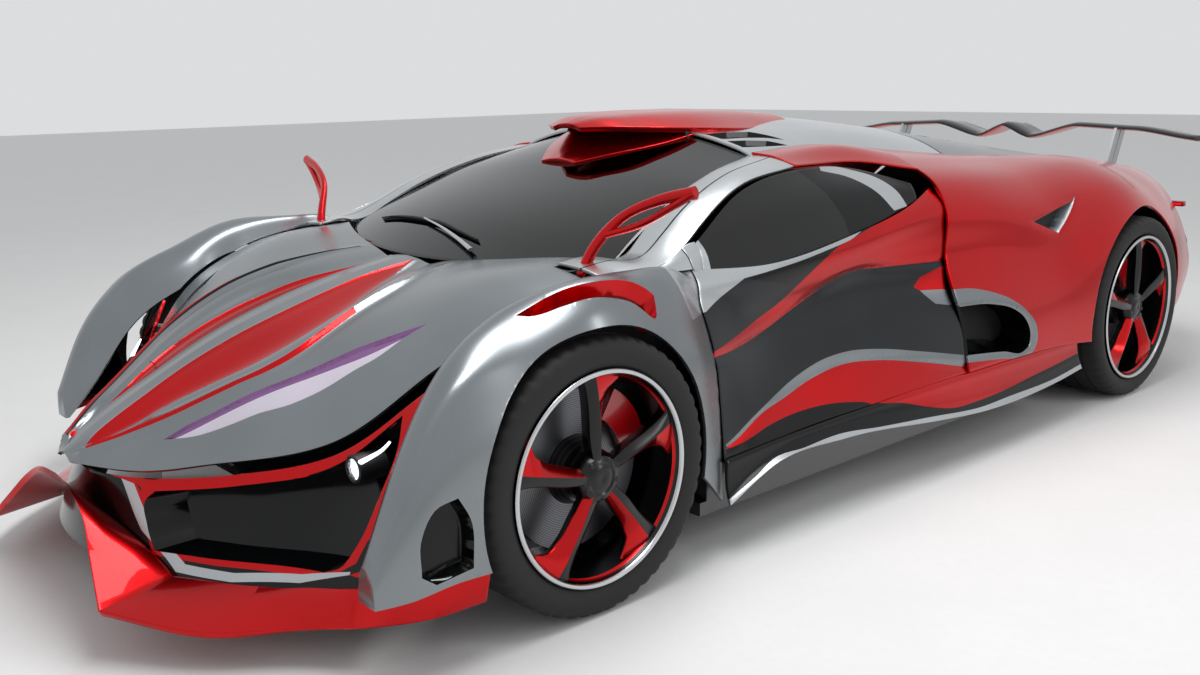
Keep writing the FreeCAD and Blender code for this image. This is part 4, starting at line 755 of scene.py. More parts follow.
def pipe(points, radius, sides=12, step=12, squeeze=1.0):
    """A round or squeezed bar along a smooth line. radius is one value or one for each point."""
    line = smooth_path(points, step)
    share = lengths(line) / lengths(line)[-1]
    given = np.atleast_1d(radius)
    radii = np.interp(share, np.linspace(0, 1, len(given)), given)
    tangent = np.gradient(line, axis=0)
    tangent /= np.linalg.norm(tangent, axis=1)[:, None]
    up_axis = np.array([0, 0, 1.0]) if abs(tangent[:, 2]).max() < 0.9 else np.array([0, 1.0, 0])
    side = np.cross(tangent, up_axis)
    side /= np.linalg.norm(side, axis=1)[:, None]
    lift = np.cross(side, tangent)
    turn = np.linspace(0, 2 * pi, sides, endpoint=False)
    around = np.cos(turn)[None, :, None] * side[:, None] + squeeze * np.sin(turn)[None, :, None] * lift[:, None]
    return rolled(line[:, None] + radii[:, None, None] * around)


def joined(*parts):
    """Several bmeshes as one."""
    whole = bmesh.new()
    for part in parts:
        mesh = bpy.data.meshes.new("part")
        part.to_mesh(mesh)
        part.free()
        whole.from_mesh(mesh)
        bpy.data.meshes.remove(mesh)
    return whole


def both_sides(bm):
    """The bmesh and its mirror image, as one."""
    mesh = bpy.data.meshes.new("half")
    bm.to_mesh(mesh)
    mesh.transform(Matrix.Diagonal((-1, 1, 1, 1)))
    mesh.flip_normals()
    bm.from_mesh(mesh)
    bpy.data.meshes.remove(mesh)
    return bm


# %% [markdown]
# Under the beak the nose is a wide dark mouth in a red frame. A silver V
# underlines it. The nose is three lines, one above the other, with the smooth
# skin between them, and the mouth is sunk into it.

# %% nose
NOSE = [
    [(0, -2205, 128), (200, -2185, 128), (400, -2110, 128), (600, -1995, 128), (815, -1900, 128)],
    [(0, -2192, 220), (200, -2158, 222), (400, -2040, 226), (600, -1920, 232), (805, -1862, 240)],
    [(0, -2170, 318), (200, -2110, 326), (395, -1962, 346), (590, -1806, 405), (752, -1655, 560)]]
MOUTH = taped([(300, 180), (560, 182), (700, 190)], [(700, 190), (742, 210), (758, 250), (756, 350), (742, 440),
                                                     (712, 500)],
              [(712, 500), (600, 384), (400, 322), (250, 302)], [(250, 302), (236, 285), (262, 230), (300, 180)],
              step=10)
V_TRIM = [(150, 318), (253, 218), (372, 146), (504, 142), (651, 160), (770, 200), (770, 206), (645, 176),
          (499, 159), (385, 163), (290, 214), (190, 312)]
RED_RIM = [(212, 306), (268, 212), (300, 172), (460, 168), (605, 170), (715, 180), (776, 224), (784, 300),
           (770, 440), (726, 530), (600, 398), (400, 334), (250, 314)]


def layered(layers, rows, columns):
    """Points of a smooth skin between lines of points, mirrored about the middle."""
    layers = np.array(layers, float)
    mirror = layers[:, :0:-1] * [-1, 1, 1]
    whole = np.concatenate([mirror, layers], axis=1)
    lines = np.array([cubic(lengths(w), w, np.linspace(0, lengths(w)[-1], columns + 1)) for w in whole])
    heights = np.linspace(0, len(layers) - 1, rows + 1)
    skin = cubic(np.arange(len(layers)), lines.reshape(len(layers), -1), heights)
    return skin.reshape(rows + 1, columns + 1, 3)


nose = face_out(grid(layered(NOSE, 34, 180)), (0, -1400, 300))
for side_sign in (1, -1):
    flip = lambda outline: [(side_sign * a, b) for a, b in outline]
    half = lambda c: c[0] * side_sign > 0
    colour_area(nose, flip([(0, 100), (900, 100), (900, 200), (770, 200), (645, 172), (504, 150), (372, 150),
                            (253, 218), (150, 318), (0, 330)]), "y", 1, where=half)
    colour_area(nose, flip([(190, 318)] + [(385, 163), (499, 159), (645, 170), (770, 200),
                                           (900, 260)] + RED_RIM[::-1]), "y", 1, where=half)
    colour_area(nose, flip(RED_RIM), "y", 0, where=half)
    colour_area(nose, flip(V_TRIM), "y", 2, where=half)
    pocket(nose, flip(MOUTH), "y", (0, 84, 0), 3, 3, shrink=0.93, where=half)
face_out(nose, (0, -1400, 300))
piece(nose, "nose_shell", [RED, BLACK, SILVER, BLACK], "body", "black_gloss", ("front_bumper",), thick=8, edge=1.2)

# %% [markdown]
# The splitter is one folded blade. It drops from the beak, turns a sharp corner
# and runs back along the ground to the wheel, so it is made in two smooth runs
# that meet at the fold. A row is its outer edge, its inner edge and the step
# from there to its back.

# %% splitter
BLADE = [
    ((0, -2238, 322), (0, -2196, 262), (0, 10, -16)), ((110, -2242, 312), (140, -2180, 246), (0, 10, -16)),
    ((210, -2250, 268), (250, -2152, 206), (0, 10, -16)), ((300, -2272, 200), (330, -2128, 166), (0, 9, -16)),
    ((400, -2296, 122), (385, -2124, 146), (0, 8, -16)), ((600, -2148, 92), (545, -2014, 142), (0, 8, -16)),
    ((732, -1996, 96), (668, -1946, 156), (-6, 12, -12)), ((850, -1896, 106), (862, -1882, 196), (-14, 12, 0)),
    ((926, -1796, 118), (940, -1780, 208), (-16, 8, 0)), ((962, -1676, 132), (982, -1676, 206), (-16, 4, 0))]


def blade_run(rows, count):
    """Closed sections along the rows, count of them and one more."""
    table = np.array(rows, float)
    outer_edge, inner_edge, back_step = table[:, 0], table[:, 1], table[:, 2]
    ring = np.stack([outer_edge, outer_edge * .66 + inner_edge * .34, outer_edge * .33 + inner_edge * .67,
                     inner_edge, inner_edge + back_step,
                     (outer_edge + inner_edge) / 2 + back_step, outer_edge + back_step], axis=1)
    at = lengths(outer_edge)
    return cubic(at, ring.reshape(len(ring), -1), np.linspace(0, at[-1], count + 1)).reshape(count + 1, -1, 3)


blade = np.concatenate([blade_run(BLADE[:5], 26), blade_run(BLADE[4:], 46)[1:]])
blade = np.concatenate([blade[:0:-1] * [-1, 1, 1], blade])
piece(rolled(blade), "splitter_blade", [RED], "body", "red_paint", ("splitter",), edge=4.5, smooth=22)

# %% [markdown]
# The roof, the pillars and the engine cover continue the same smooth line from
# the windscreen to the tail. The roof is silver with two long openings beside
# the scoop, a thin black joint runs up each pillar, and five pairs of louvres
# let the heat out of the engine cover.

# %% roof, pillars and cover
ROOF = [
    (-344, [(0, 1072), (300, 1048), (420, 1024), (520, 994), (572, 968)]),
    (200, [(0, 1085), (300, 1058), (420, 1030), (520, 980), (572, 948)]),
    (742, [(0, 1031), (300, 1004), (420, 971), (520, 923), (572, 891)])]
COVER = [
    (758, [(0, 1029), (300, 1002), (420, 969), (514, 924)]),
    (1300, [(0, 950), (300, 932), (420, 912), (514, 888)]),
    (1892, [(0, 863), (300, 856), (420, 846), (514, 830)])]
DECK = [
    (1900, [(0, 862), (300, 855), (420, 845), (520, 828)]),
    (2130, [(0, 835), (300, 830), (420, 822), (520, 808)])]
PILLAR = [
    (-1168, (614, 760), (802, 732)), (-1070, (628, 766), (808, 746)), (-1026, (655, 756), (808, 750)),
    (-985, (652, 758), (804, 756)),
    (-868, (624, 818), (774, 796)), (-800, (607, 855), (755, 831)), (-570, (564, 936), (697, 919)),
    (-331, (521, 980), (686, 954))]
# The joint runs along the pillar at this share of its width.
PILLAR_JOINT = 0.46

roof = face_out(grid(surface(ROOF, 14)), (0, 0, 600))
ROOF_OPENINGS = ([(326, -322), (336, -235), (358, -150), (456, -92), (428, -150), (408, -230), (396, -322)],
                 [(420, -322), (430, -250), (452, -168), (492, -118), (489, -200), (482, -322)])
for opening in ROOF_OPENINGS:
    pocket(roof, opening, "z", (0, 0, -16), 1, 1, shrink=0.96)
roof = face_out(mirrored(roof), (0, 0, 600))
piece(roof, "roof_shell", [SILVER, BLACK], "body", "silver_paint", ("roof",), thick=8, edge=1.4)
pillar_rows = [(y, [a, ((a[0] * .75 + b[0] * .25), (a[1] * .75 + b[1] * .25) + 5),
                    ((a[0] + b[0]) / 2, (a[1] + b[1]) / 2 + 8),
                    ((a[0] * .25 + b[0] * .75), (a[1] * .25 + b[1] * .75) + 6), b]) for y, a, b in PILLAR]
pillar = face_out(grid(surface(pillar_rows, 9)), (400, -700, 600))
joint_line = [((1 - PILLAR_JOINT) * a[0] + PILLAR_JOINT * b[0], y) for y, a, b in PILLAR]
joint_edges = [taped([(x + aside, y) for x, y in joint_line]) for aside in (-3, 3)]
for edge in joint_edges:
    score(pillar, edge, "z", closed=False)
for f in within(pillar, joint_edges[0] + joint_edges[1][::-1], "z"):
    f.material_index = 1
left_pillar = piece(pillar, "pillar_shell_left", [SILVER, BLACK], "body", "silver_paint", thick=8, edge=1.6)
other_side(left_pillar, "pillar_shell_right", "body")

cover = face_out(grid(surface(COVER, 12)), (0, 1200, 600))
LOUVRES, LOUVRE_START, LOUVRE_PITCH = 5, 900, 170
for k in range(LOUVRES):
    y = LOUVRE_START + LOUVRE_PITCH * k
    pocket(cover, [(30, y), (300 - 14 * k, y + 50), (300 - 14 * k, y + 96), (30, y + 46)], "z", (0, 10, -26), 1, 1,
           shrink=0.92)
cover = face_out(mirrored(cover), (0, 1200, 600))
piece(cover, "engine_cover_shell", [GUNMETAL, SATIN_BLACK], "engine_cover", "satin_gunmetal_paint",
      ("engine_cover",), thick=8, edge=1.4)
deck = face_out(mirrored(face_out(grid(surface(DECK, 14)), (0, 2000, 600))), (0, 2000, 600))
piece(deck, "tail_deck", [GUNMETAL], "body", "satin_gunmetal_paint", thick=8, edge=1.4)

# %% [markdown]
# The windscreen is one big curved pane. Its four bows, each from the middle of
# the car to its left-hand end, are parabolas. A side window is a glass in a
# silver frame, with a black quarter behind it and a silver arc over that; all
# of it opens with the door.

# %% windscreen and side glass
BOWS = [((0, -1205, 722), (650, -1020, 742)), ((0, -1010, 822), (620, -890, 806)),
        ((0, -700, 938), (575, -640, 908)), ((0, -338, 1056), (516, -338, 982))]
GLASS = [
    (-850, [(812, 722), (800, 778), (786, 798)]), (-600, [(822, 714), (778, 842), (718, 908)]),
    (-300, [(826, 748), (774, 878), (700, 952)]),
    (-60, [(822, 792), (780, 880), (712, 936)]), (120, [(814, 834), (802, 864), (788, 884)])]

SCREEN_ROWS, SCREEN_COLUMNS = 61, 97
share = np.linspace(-1, 1, SCREEN_COLUMNS)
bows = np.array([[(c[0] * s, m[1] + (c[1] - m[1]) * s * s, m[2] + (c[2] - m[2]) * s * s) for s in share]
                 for m, c in BOWS])
knots = lengths(bows[:, SCREEN_COLUMNS // 2])
screen_points = cubic(knots, bows.reshape(len(BOWS), -1), np.linspace(0, knots[-1], SCREEN_ROWS))
screen_points = screen_points.reshape(SCREEN_ROWS, -1, 3)
screen = face_out(grid(screen_points), (0, -700, 500))
piece(screen, "windscreen_pane", [TINTED], "body", "tinted_glass", ("windscreen",), thick=5, edge=0.8)

pane = face_out(grid(surface(GLASS, 9)), (400, -350, 800))
colour_area(pane, [(-900, 640), (-812, 700), (-822, 760), (-850, 860), (-900, 900)], "x", 1)
colour_area(pane, [(-232, 700), (-242, 800), (-284, 880), (-340, 960), (200, 1000), (200, 700)], "x", 2)
colour_area(pane, taped([(-219, 960), (-95, 937), (1, 903), (40, 863), (64, 820)])
            + taped([(-4, 812), (-59, 872), (-124, 914), (-233, 942)]), "x", 3)
left_pane = piece(pane, "side_window_left", [TINTED, SILVER, BLACK, SILVER], "door_left", "tinted_glass",
                  ("door_glass_left",), thick=4, edge=0.8)
other_side(left_pane, "side_window_right", "door_right", ("door_glass_right",))

# %% [markdown]
# The scoop feeds the engine over the roof. A wide red upper lip and a slimmer
# lower one meet in a point over the windscreen, with the black mouth between
# them. The two long openings beside it are pockets in the roof skin.

# %% roof scoop
SCOOP = [
    (-615, [(0, 1082), (32, 1079), (64, 1070)]), (-560, [(0, 1098), (84, 1092), (152, 1072)]),
    (-450, [(0, 1108), (150, 1099), (240, 1068)]),
    (-320, [(0, 1110.5), (192, 1102), (304, 1062)]), (0, [(0, 1106), (200, 1094), (318, 1048)]),
    (200, [(0, 1094), (190, 1080), (300, 1040)])]
LOWER_LIP = [
    (-655, [(0, 974), (40, 971), (80, 964)]), (-560, [(0, 1012), (90, 1006), (165, 991)]),
    (-450, [(0, 1052), (150, 1042), (250, 1016)]), (-330, [(0, 1092), (192, 1078), (304, 1048)])]
for name, table, replaced in (("scoop_upper_shell", SCOOP, ("roof_scoop",)), ("scoop_lower_lip", LOWER_LIP, ())):
    lip = face_out(mirrored(face_out(grid(surface(table, 9)), (0, -400, 900))), (0, -400, 900))
    piece(lip, name, [RED], "body", "red_paint", replaced, thick=16, edge=5)
# A cheek closes each side of the scoop: y, then the heights of its foot and its top.
CHEEK = ((-365, 1020, 1052), (-300, 1016, 1054), (-180, 1012, 1052), (0, 1010, 1044), (190, 1004, 1030))
cheek = grid(np.array([[(292 - 14 * s, y, low + (high - low) * s) for s in np.linspace(0, 1, 9)]
                       for y, low, high in CHEEK]))
cheek = both_sides(face_out(cheek, (0, -100, 1030)))
piece(cheek, "scoop_cheeks", [BLACK], "body", "black_gloss", thick=6, edge=1)

# %% [markdown]
# Sill skirts, the wing on twin struts, and the loop mirrors finish the outline.
# The wing is one foil section carried along a wavy line. A mirror is two bars
# that meet at the tip, bent from smooth lines.

# %% skirts, wing and mirrors
SKIRT = [(-900, (907, 257), (948, 257), (962, 142)), (-730, (907, 264), (950, 264), (966, 212)),
         (-430, (907, 274), (952, 274), (974, 220)),
         (40, (907, 286), (968, 286), (996, 178)), (240, (907, 287), (970, 287), (1000, 160)),
         (740, (907, 284), (974, 284), (1002, 164)), (930, (907, 280), (974, 280), (1000, 180))]
skirt_rows = [(y, [a, b, (b[0] * .72 + c[0] * .28 - 3, b[1] * .72 + c[1] * .28),
                   (b[0] * .3 + c[0] * .7 - 5, b[1] * .3 + c[1] * .7), c])
              for y, a, b, c in SKIRT]
skirt = face_out(grid(surface(skirt_rows, 9)), (850, 0, 250))
front = lambda c: c[0] > 940
edge_line = [(-900, 158), (-800, 196), (-730, 225), (-604, 231), (-430, 233), (-276, 219), (40, 192), (126, 183),
             (240, 174), (433, 174), (740, 178), (930, 194)]
colour_area(skirt, taped([(-300, 300), (-250, 283), (-157, 266), (-21, 228), (105, 200), (240, 194), (376, 196),
                          (643, 213), (785, 222), (960, 236)]) + [(960, 330), (-300, 330)], "x", 1, where=front)
colour_area(skirt, taped(edge_line) + [(960, 100), (-960, 100), (-960, 140)], "x", 2, where=front)
left_skirt = piece(skirt, "side_skirt_shell_left", [BLACK, RED, SILVER], "body", "black_gloss", ("side_skirts",),
                   thick=9, edge=2)
other_side(left_skirt, "side_skirt_shell_right", "body")

WING = [(0, 32), (130, -20), (345, 36), (620, 24), (870, -12)]
WING_LEVEL, WING_FRONT, WING_CHORD, WING_THICK = 945, 2064, 230, 24
# Height of the top and bottom at shares of the chord, as shares of the thickness.
FOIL = [(0.0, 0.35), (0.06, 0.72), (0.25, 1.0), (0.55, 0.86), (0.85, 0.55), (1.0, 0.5), (0.98, 0.4), (0.7, 0.2),
        (0.4, 0.0), (0.12, 0.08)]
stations = []
for k in range(len(WING) - 1):
    (x0, h0), (x1, h1) = WING[k], WING[k + 1]
    for s in np.linspace(0, 1, 9)[(1 if k else 0):]:
        stations.append((x0 + (x1 - x0) * s, h0 + (h1 - h0) * (s * s * (3 - 2 * s) * .5 + s * .5)))
stations = [(-x, h) for x, h in stations[:0:-1]] + stations
wing_rings = []
for x, h in stations:
    chord = WING_CHORD * (1 - 0.12 * abs(x) / 870)
    wing_rings.append([(x, WING_FRONT + chord * c, WING_LEVEL + h + WING_THICK * (t - 0.5)) for c, t in FOIL])
wing = rolled(wing_rings, paint=lambda i, j: 0 if j < 5 else 1)
piece(wing, "rear_wing_blade", [BLACK, RED], "body", "black_gloss", ("rear_wing",), edge=1, smooth=50)

ARMS = [[(668, -1140, 735), (688, -1118, 800), (742, -1074, 878), (850, -1040, 930), (950, -1022, 952)],
        [(714, -1098, 838), (800, -1060, 868), (890, -1034, 918), (950, -1022, 952)]]
loop = joined(pipe(ARMS[0], [17, 15, 13, 14, 17], squeeze=0.8), pipe(ARMS[1], [11, 12, 12, 13], squeeze=0.8))
piece(both_sides(loop), "mirror_loops", [RED], "body", "red_paint", ("mirrors",))


# %% [markdown]
# Each tyre is spun from its profile: bead, bulging low sidewall, rounded
# shoulder and a tread with four water grooves. After the spin every third
# shoulder segment is pressed in, which makes the tread blocks.

# %% wheels
def spun(profile, steps):
    """A closed profile of (x, radius) in mm, turned about the X axis."""
    bm = bmesh.new()
    ring = [bm.verts.new((x * MM, 0, r * MM)) for x, r in profile]
    for a, b in zip(ring, ring[1:] + ring[:1]):
        bm.edges.new((a, b))
    bmesh.ops.spin(bm, geom=list(bm.verts) + list(bm.edges), cent=(0, 0, 0), axis=(1, 0, 0), dvec=(0, 0, 0),
                   angle=2 * pi, steps=steps, use_merge=True, use_duplicate=False)
    bmesh.ops.remove_doubles(bm, verts=bm.verts, dist=1e-5)
    bmesh.ops.recalc_face_normals(bm, faces=bm.faces)
    return bm


def tyre_mesh(radius, width, rim_radius):
    """A tyre about the X axis, its middle at x = 0."""
    w = width / 2
    half = [(.80 * w, rim_radius - 6), (.90 * w, rim_radius - 2), (.955 * w, rim_radius + 8),
            (.99 * w, rim_radius + 24),
            (1.0 * w, (rim_radius + radius) / 2 + 4), (.985 * w, radius - 20), (.94 * w, radius - 8),
            (.86 * w, radius - 2), (.74 * w, radius)]
    for groove_at in (.56, .20):
        half += [(groove_at * w + 7, radius), (groove_at * w + 5, radius - 7), (groove_at * w - 5, radius - 7),
                 (groove_at * w - 7, radius)]
    profile = half + [(-x, r) for x, r in half[::-1]]
    steps = 156
    bm = spun(profile, steps)
    for v in bm.verts:
        r = hypot(v.co.y, v.co.z) / MM
        turn = round((atan2(v.co.z, v.co.y) / (2 * pi)) * steps)
        if abs(v.co.x) / MM > .70 * w and r > radius - 9 and turn % 3 == 0:
            v.co.y, v.co.z = v.co.y * (r - 5) / r, v.co.z * (r - 5) / r
    return bm


# %% [markdown]
# The wheels are cast and painted gloss black, with a bright turned lip. Each of
# the five spokes has a black face on one side of its ridge and a red face on
# the other, and the red face spreads into a foot along the rim.

# %% rims
# Radius as a share of the rim, then half widths of the black and the red side, and how far the ridge stands out.
SPOKE = [(.16, 26, 24, 2), (.42, 24, 22, 8), (.66, 23, 31, 8), (.82, 26, 55, 6), (.90, 30, 86, 3),
         (.965, 37, 98, 0)]
SPOKES, SPOKE_START, SPOKE_BACK, SPOKE_DEPTH = 5, 21, 16, 36
PITCH = 360 / SPOKES
NUT_CIRCLE = 45


def rim_mesh(rim_radius, x_in, x_out, start):
    """A rim about the X axis at x_in..x_out, in mm."""
    face, back = x_out, x_in
    profile = [(face - 3, rim_radius - 1), (face, rim_radius - 4), (face - 1, rim_radius - 11),
               (face - 6, rim_radius - 14), (face - 16, rim_radius - 17),
               (face - 22, rim_radius - 22), (face - 90, rim_radius - 30), (back + 12, rim_radius - 26),
               (back + 3, rim_radius - 10), (back, rim_radius - 2),
               (back + 8, rim_radius - 1), (back + 14, rim_radius - 16), (face - 60, rim_radius - 24),
               (face - 14, rim_radius - 10)]
    barrel = spun(profile, 128)
    for f in barrel.faces:
        c = f.calc_center_median() / MM
        r = hypot(c[1], c[2])
        f.material_index = 2 if c[0] > face - 5 else 1 if face - 21 < c[0] <= face - 16 and r < rim_radius - 12 else 0
    parts = [barrel]
    for k in range(SPOKES):
        rings = []
        for share_out, left, right_side, stand in SPOKE:
            r = share_out * rim_radius
            def at(offset, x):
                turn = radians(start + PITCH * k) + offset / max(r, 60)
                return (x, r * cos(turn), r * sin(turn))
            x = face - SPOKE_BACK
            rings.append([at(left, x - 2), at(left * .82, x + 1), at(1, x + stand), at(-1.5, x + stand),
                          at(-right_side * .94, x - 13), at(-right_side, x - 17),
                          at(-right_side * .8, x - SPOKE_DEPTH), at(left * .8, x - SPOKE_DEPTH)])
        line = np.array(rings)
        knots = lengths(line[:, 2])
        smooth_rings = cubic(knots, line.reshape(len(line), -1), np.linspace(0, knots[-1], 22)).reshape(22, -1, 3)
        parts.append(rolled(smooth_rings, paint=lambda i, j: 1 if j in (3, 4) else 0))
    hub = [(face - 58, 6), (face - 58, 66), (face - 30, 62), (face - 16, 52), (face - 12, 40), (face - 15, 34),
           (face - 13, 30), (face - 11, 20), (face - 11, 6)]
    parts.append(spun(hub, 48))
    parts.append(spun([(face - 50, 0.4), (face - 50, 7), (face - 11.5, 7), (face - 11.5, 0.4)], 24))
    for k in range(SPOKES):
        turn = radians(start + PITCH * (k + 0.5))
        nut = spun([(face - 30, 0.4), (face - 30, 8), (face - 15, 8), (face - 12, 5), (face - 12, 0.4)], 6)
        bmesh.ops.translate(nut, verts=nut.verts, vec=(0, NUT_CIRCLE * MM * cos(turn), NUT_CIRCLE * MM * sin(turn)))
        parts.append(nut)
    return joined(*parts)


# Axle, tyre radius, tyre width, rim radius and the x of the tyre's middle.
WHEELS = {"front": (FRONT_AXLE, FRONT_TYRE, 254, 258, 858), "rear": (REAR_AXLE, REAR_TYRE, 324, 273, 850)}
for end, (axle, radius, width, rim_radius, track) in WHEELS.items():
    body = f"wheel_{end}_left"
    low, high = (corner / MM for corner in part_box(f"rim_{end}_left"))
    tyre_bm = tyre_mesh(radius, width, rim_radius)
    bmesh.ops.translate(tyre_bm, verts=tyre_bm.verts, vec=Vector((track, *axle)) * MM)
    left = piece(tyre_bm, f"{body}_tyre_tread", [RUBBER], body, "tyre", (f"tyre_{end}_left",), smooth=42)
    rim_bm = rim_mesh(rim_radius, low[0], high[0], SPOKE_START)
    bmesh.ops.translate(rim_bm, verts=rim_bm.verts, vec=Vector((0, *axle)) * MM)
    rim_left = piece(rim_bm, f"{body}_five_spoke_rim", [GLOSS_RIM, RED, MACHINED], body, "rim",
                     (f"rim_{end}_left",), edge=1.0, smooth=30)
    other_side(left, f"wheel_{end}_right_tyre_tread", f"wheel_{end}_right", (f"tyre_{end}_right",))
    other_side(rim_left, f"wheel_{end}_right_five_spoke_rim", f"wheel_{end}_right", (f"rim_{end}_right",))
    print(end, "wheel: tyre faces", len(left.data.polygons), "rim faces", len(rim_left.data.polygons), "rim box",
          low, high)


# %% [markdown]
# A silver sail panel closes the corner between the pillar, the door and the
# fender. Its front part is fixed to the body and its rear part opens with the
# door, so the shut line runs between them.

# %% sail panels and vent lip
SAIL_FRONT = [(-1062, [(806, 749), (816, 747), (823, 744)]), (-985, [(802, 758), (815, 752), (824, 742)]),
              (-903, [(783, 787), (806, 768), (824, 740)])]
SAIL_REAR = [(-899, [(782, 789), (806, 768), (823, 740)]), (-875, [(780, 796), (803, 774), (820, 730)]),
             (-852, [(782, 800), (800, 779), (813, 723)])]
for name, rows, body in (("sail_panel_front_left", SAIL_FRONT, "body"),
                         ("sail_panel_rear_left", SAIL_REAR, "door_left")):
    sail = piece(face_out(grid(surface(rows, 6)), (600, -950, 700)), name, [SILVER], body, "silver_paint", thick=5,
                 edge=0.8)
    other_side(sail, name.replace("left", "right"), body.replace("left", "right"))
lip = pipe([(979, -1826, 236), (986, -1795, 232), (988, -1762, 234), (984, -1736, 242)], [3, 6, 6, 3], squeeze=0.6)
vent_lip = piece(lip, "vent_lip_left", [CHROME], "body", "silver_paint")
other_side(vent_lip, "vent_lip_right", "body")

# %% [markdown]
# Each headlamp is a small projector: a black bezel, a bright bowl, an LED face
# and a clear lens in front. A thin light bar leads from it to the corner of the
# mouth. They are turned about X like the wheels and then swung to face forward.

# %% headlamps
LAMP_CENTRE = (655, -1792, 385)


def facing_forward(bm, centre):
    """Swings a spun shape from the X axis to the front and moves it to its place."""
    bmesh.ops.rotate(bm, verts=bm.verts, cent=(0, 0, 0), matrix=Matrix.Rotation(radians(90), 3, "Z"))
    bmesh.ops.translate(bm, verts=bm.verts, vec=Vector(centre) * MM)
    return bm


def lamp_part(name, profile, material, slot, replaced=()):
    """A pair of turned lamp parts from one profile of (depth, radius)."""
    bm = both_sides(facing_forward(spun(profile, 48), LAMP_CENTRE))
    return piece(bm, name, [material], "body", slot, replaced, smooth=40)


lamp_part("headlamp_bezels", [(-13, 25), (-15, 29), (-12, 33), (60, 33), (60, 25)], SATIN_BLACK, "black_gloss",
          ("headlamps",))
lamp_part("headlamp_bowls", [(-9, 24.8), (12, 14), (16, 14), (16, 24.8)], CHROME, "clear_lens")
lamp_part("headlamp_faces", [(2, 0.4), (2, 14), (-7, 23), (-5, 23.6), (8, 14), (8, 0.4)], LAMP, "clear_lens")
LENS_SECTION = [(-24, 0.4), (-22, 9), (-17, 18), (-10, 24), (-8, 24), (-14, 17), (-19, 9), (-21, 0.4)]
lamp_part("headlamp_lenses", LENS_SECTION, LENS, "clear_lens")
bar = both_sides(pipe([(676, -1800, 404), (696, -1784, 418), (716, -1762, 436), (724, -1748, 452)], [6, 5, 4, 3]))
piece(bar, "headlamp_bars", [LAMP], "body", "clear_lens")

# %% [markdown]
# A wiper is a sprung arm and a blade with a rubber lip that lies along the
# glass. Only one is fitted, off centre.

# %% wiper
pane = bpy.data.objects["windscreen_pane"]


def on_glass(points, lift):
    """Puts x, y points on the windscreen, lift mm above it."""
    out = []
    for x, y in points:
        _, place, normal, _ = pane.ray_cast(Vector((x, y, 2000)) * MM, Vector((0, 0, -1)))
        out.append(tuple((place + normal * lift * MM) / MM))
    return out


ALONG_GLASS = [(-430, -1036), (-366, -1038), (-236, -1050), (-142, -1060), (-70, -1066), (87, -1092), (190, -1106)]
wiper_arm = pipe(on_glass([(222, -1150), (120, -1124), (-10, -1092), (-138, -1062)], 15), [9, 7, 5, 4], squeeze=0.6)
piece(wiper_arm, "wiper_arm", [SILVER], "body", "matt_black", ("wiper",))
blade_back = pipe(on_glass(ALONG_GLASS, 9), [3, 5, 7, 7, 7, 5, 3], squeeze=0.7)
blade_lip = pipe(on_glass(ALONG_GLASS, 3), 2.5)
piece(joined(blade_back, blade_lip), "wiper_blade", [MATT_BLACK], "body", "matt_black")

# %% [markdown]
# The seats are carbon shells with leather pads. Each pad is blown up like real
# upholstery: a slightly small block is remeshed, filled with air pressure by the
# cloth solver while its travel is capped, and then the sewn channels are pressed
# in, and one subdivision smooths the even cells.

# %% padded seats
PAD_CELL, PAD_PRESSURE, PAD_FRAMES, PAD_TRAVEL, PAD_FILL = 7, 4.0, 20, 12, 0.6


def block_mesh(low, high, lean=0):
    """A block with even cells. lean moves its top back, in mm."""
    bm = bmesh.new()
    bmesh.ops.create_cube(bm, size=1)
    bmesh.ops.subdivide_edges(bm, edges=bm.edges, cuts=7, use_grid_fill=True)
    span = [b - a for a, b in zip(low, high)]
    for v in bm.verts:
        share = [c + 0.5 for c in v.co]
        round_off = 1 - 0.10 * abs(2 * share[1] - 1) ** 4
        v.co = Vector((low[0] + span[0] * (0.5 + (share[0] - 0.5) * round_off),
                       low[1] + span[1] * share[1] + lean * share[2], low[2] + span[2] * share[2])) * MM
    return bm


def inflated(bm, name):
    """The pad, remeshed and blown up by the cloth solver, with its travel capped."""
    mesh = bpy.data.meshes.new(name)
    bm.to_mesh(mesh)
    bm.free()
    mesh.materials.append(LEATHER)
    pad = bpy.data.objects.new(name, mesh)
    bpy.context.scene.collection.objects.link(pad)
    remesh = pad.modifiers.new("even cells", "REMESH")
    remesh.mode, remesh.voxel_size = "VOXEL", PAD_CELL * MM
    bpy.context.view_layer.update()
    even = bpy.data.meshes.new_from_object(pad.evaluated_get(bpy.context.evaluated_depsgraph_get()))
    pad.modifiers.clear()
    pad.data = even
    before = np.array([v.co for v in even.vertices])
    cloth = pad.modifiers.new("air", "CLOTH")
    cloth.settings.use_pressure = True
    cloth.settings.uniform_pressure_force = PAD_PRESSURE
    cloth.settings.effector_weights.gravity = 0
    cloth.point_cache.frame_start, cloth.point_cache.frame_end = 1, PAD_FRAMES
    for step in range(1, PAD_FRAMES + 1):
        bpy.context.scene.frame_set(step)
    blown = bpy.data.meshes.new_from_object(pad.evaluated_get(bpy.context.evaluated_depsgraph_get()))
    pad.modifiers.clear()
    pad.data = blown
    after = np.array([v.co for v in blown.vertices])
    move = after - before
    size = np.maximum(np.linalg.norm(move, axis=1), 1e-9)
    placed = before + move * (np.minimum(size, PAD_TRAVEL * MM) / size)[:, None]
    blown.vertices.foreach_set("co", placed.ravel())
    bpy.context.scene.frame_set(1)
    return pad


